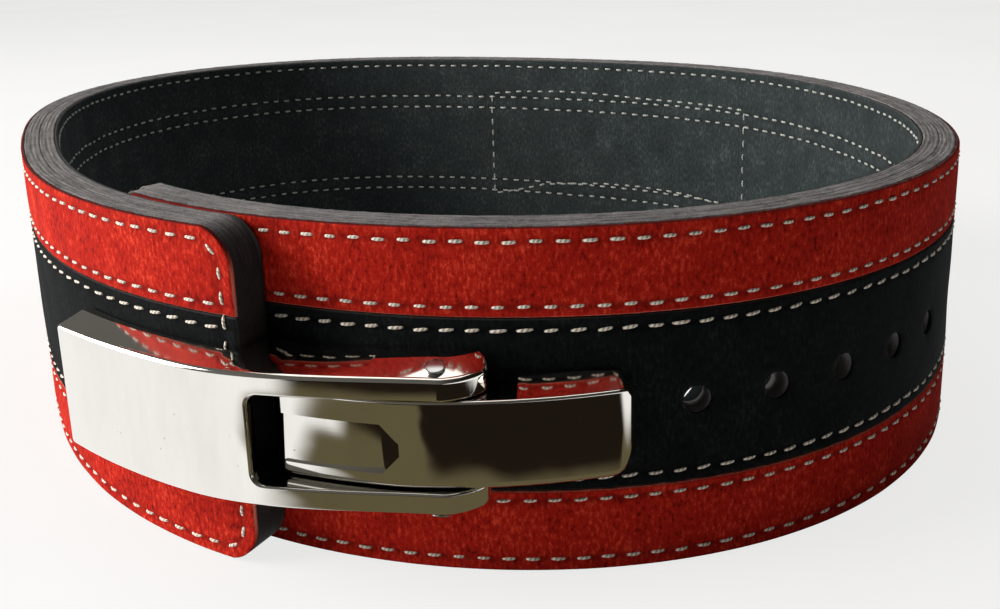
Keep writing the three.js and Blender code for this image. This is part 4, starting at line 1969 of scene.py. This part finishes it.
@dataclass(frozen=True)
class Studio:
    """A pale floor, a soft window of light at the left, a dim room around, and the photograph's camera."""

    eye: tuple[float, float, float] = (32.34, -454.70, 174.17)
    pitch: float = math.radians(14.38)
    roll: float = math.radians(-1.38)
    lens: float = 38.92
    shift: tuple[float, float] = (-0.0304, -0.1006)
    floor_size: float = 6.0
    ragged: float = 0.02
    # painted reflection: the fields from here to its strength lay out the picture that the floor shows to
    # glossy rays
    window_slant: float = 0.64
    window_place: float = 0.0785
    window_blur: tuple[float, float] = (-0.022, 0.012)
    hump_size: float = 0.036
    hump_front: tuple[float, float] = (-0.312, -0.285)
    hump_back: tuple[float, float] = (0.238, 0.262)
    right_white: tuple[float, float] = (0.13, 0.17)
    dark_place: float = -0.325
    dark_step: tuple[float, float] = (-0.046, -0.004)
    dark_rise: float = 0.057
    dark_slope: float = 0.25
    dark_slope_start: float = 0.02
    dark_blur: tuple[float, float] = (-0.006, 0.008)
    painted_reflection_strength: float = 1.15
    backdrop_strength: float = 1.0
    backdrop_share: float = 0.82
    room_strength: float = 0.3

    def camera(self) -> None:
        """Puts the camera where the photograph was taken from."""
        data = bpy.data.cameras.new("camera")
        data.lens = self.lens
        data.sensor_width = 36.0
        data.shift_x, data.shift_y = self.shift
        data.clip_start = 0.02
        camera = bpy.data.objects.new("camera", data)
        bpy.context.scene.collection.objects.link(camera)
        turn = Matrix.Rotation(math.radians(90) - self.pitch, 4, "X") @ Matrix.Rotation(self.roll, 4, "Z")
        camera.matrix_world = Matrix.Translation(Vector(self.eye) * MM) @ turn
        bpy.context.scene.camera = camera

    def floor(self) -> None:
        """Lays the floor."""
        half = self.floor_size / 2
        corners = np.array([[-half, -half, 0], [half, -half, 0], [half, half, 0], [-half, half, 0]])
        piece = make_mesh("floor", Surface(corners, np.array([[0, 1, 2, 3]])), self.paper())

    def paper(self) -> bpy.types.Material:
        """The floor's paper: pale to look at, and to glossy rays a glowing painted reflection of a dim
        studio with a white window at its left.

        The painted reflection is laid out on the floor in front of the belt: white left of a slanting line,
        which has a hump, and at the far right, dark beyond the middle, and olive between them.

        Returns:
            The material.
        """
        g = Graph("floor_paper")
        place = g.coordinates.outputs["Object"]
        speckle = g.noise(place, size=300, detail=3, rough=0.5)
        colour = g.blend(speckle, tint(246, 246, 245), tint(252, 252, 251))
        parts = g.node("ShaderNodeSeparateXYZ", Vector=place)
        x, y = (Value(g, parts.outputs[k]) for k in (0, 1))
        ragged = g.noise(place, size=45, detail=2, rough=0.5) * self.ragged - self.ragged / 2
        hump = g.between(y * -1.0, *self.hump_back) * g.between(y, *self.hump_front)
        across = y * self.window_slant - x - hump * self.hump_size + self.window_place + ragged
        white = g.math("MAXIMUM", g.between(across, *self.window_blur), g.between(x, *self.right_white))
        edge = g.between(x + ragged, *self.dark_step) * self.dark_rise + self.dark_place
        edge = edge + g.math("MAXIMUM", x - self.dark_slope_start, 0.0) * self.dark_slope
        dark = g.between(edge - y + ragged, *self.dark_blur)
        middle = g.blend(dark, tint(96, 88, 64), tint(30, 24, 18))
        # painted reflection: white, olive and dark areas that chrome mirrors in place of a real room
        painted_reflection = g.blend(white, middle, tint(255, 255, 255))
        rays = g.node("ShaderNodeLightPath").outputs
        direct = Value(g, rays["Is Camera Ray"]) * self.backdrop_share
        # painted reflection: glossy rays that meet the floor see this picture glowing, not the lit paper
        painted_reflection_glow = g.node("ShaderNodeEmission", Color=painted_reflection, Strength=self.painted_reflection_strength)
        backdrop = g.node("ShaderNodeEmission", Color=colour, Strength=self.backdrop_strength)
        paper = g.shader.outputs[0]
        lit = g.node("ShaderNodeMixShader", i0=direct, i1=paper, i2=backdrop.outputs[0])
        glossy = rays["Is Glossy Ray"]
        seen = g.node("ShaderNodeMixShader", i0=glossy, i1=lit.outputs[0], i2=painted_reflection_glow.outputs[0])
        output = next(node for node in g.tree.nodes if node.type == "OUTPUT_MATERIAL")
        g.feed(output.inputs[0], seen.outputs[0])
        return g.finish(Base_Color=colour, Roughness=0.8)

    def light(
        self,
        name: str,
        spot: Vector,
        target: Vector,
        size: float,
        power: float,
        colour: Colour,
    ) -> None:
        """Hangs one soft square of light that faces a point.

        Args:
            name: The light's name.
            spot: Where it hangs, in metres.
            target: The point that it faces.
            size: Its width and height.
            power: Its power in watts.
            colour: Its colour.
        """
        data = bpy.data.lights.new(name, "AREA")
        data.shape = "RECTANGLE"
        data.size = size
        data.size_y = size
        data.energy = power
        data.color = colour[:3]
        lamp = bpy.data.objects.new(name, data)
        turn = (target - spot).to_track_quat("-Z", "Y").to_matrix().to_4x4()
        lamp.matrix_world = Matrix.Translation(spot) @ turn
        bpy.context.scene.collection.objects.link(lamp)

    def room(self) -> None:
        """Gives the world a white backdrop for the camera and a dim, warm room for light and reflections."""
        world = bpy.data.worlds.new("room")
        world.use_nodes = True
        bpy.context.scene.world = world
        tree = world.node_tree
        tree.nodes.clear()
        kinds = ("LightPath", "MixShader", "OutputWorld", "Background", "Background")
        path, mix, output, backdrop, room = (tree.nodes.new(f"ShaderNode{kind}") for kind in kinds)
        kinds = ("ValToRGB", "SeparateXYZ", "TexCoord", "MapRange")
        ramp, spread, coordinates, remap = (tree.nodes.new(f"ShaderNode{kind}") for kind in kinds)
        backdrop.inputs[0].default_value = (1, 1, 1, 1)
        room.inputs[1].default_value = self.room_strength
        ramp.color_ramp.elements[0].color = tint(205, 203, 196)
        ramp.color_ramp.elements[1].color = tint(60, 52, 40)
        remap.inputs["From Min"].default_value = -1.0
        remap.inputs["From Max"].default_value = 0.7
        links = (
            (coordinates.outputs["Generated"], spread.inputs[0]),
            (spread.outputs[0], remap.inputs[0]),
            (remap.outputs[0], ramp.inputs[0]),
            (ramp.outputs[0], room.inputs[0]),
            (path.outputs["Is Camera Ray"], mix.inputs[0]),
            (room.outputs[0], mix.inputs[1]),
            (backdrop.outputs[0], mix.inputs[2]),
            (mix.outputs[0], output.inputs[0]),
        )
        for source, target in links:
            tree.links.new(source, target)

    def build(self) -> None:
        """Sets the whole studio up."""
        self.camera()
        self.floor()
        self.room()
        white = tint(255, 250, 244)
        middle = Vector((0, 0, 0.05))
        self.light("window", Vector((-1.63, -0.16, 0.7)), middle, size=1.1, power=52, colour=white)
        self.light("sky", Vector((0.0, 0.35, 1.6)), middle, size=1.5, power=11, colour=white)
        settings = bpy.context.scene.view_settings
        settings.view_transform = "Standard"
        settings.look = "None"


def main() -> None:
    """Builds the belt in its studio."""
    logging.basicConfig(level=logging.INFO, format="%(message)s")
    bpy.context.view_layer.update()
    strap, buckle = Strap(), Buckle()
    Studio().build()
    strap.build()
    Stitching(strap).build()
    for fringe in fringes(strap):
        fringe.build(strap)
    Lever(buckle, strap).build()
    BasePlate(buckle, strap).build()
    Fasteners(buckle, strap).build()


if __name__ == "__main__":
    main()
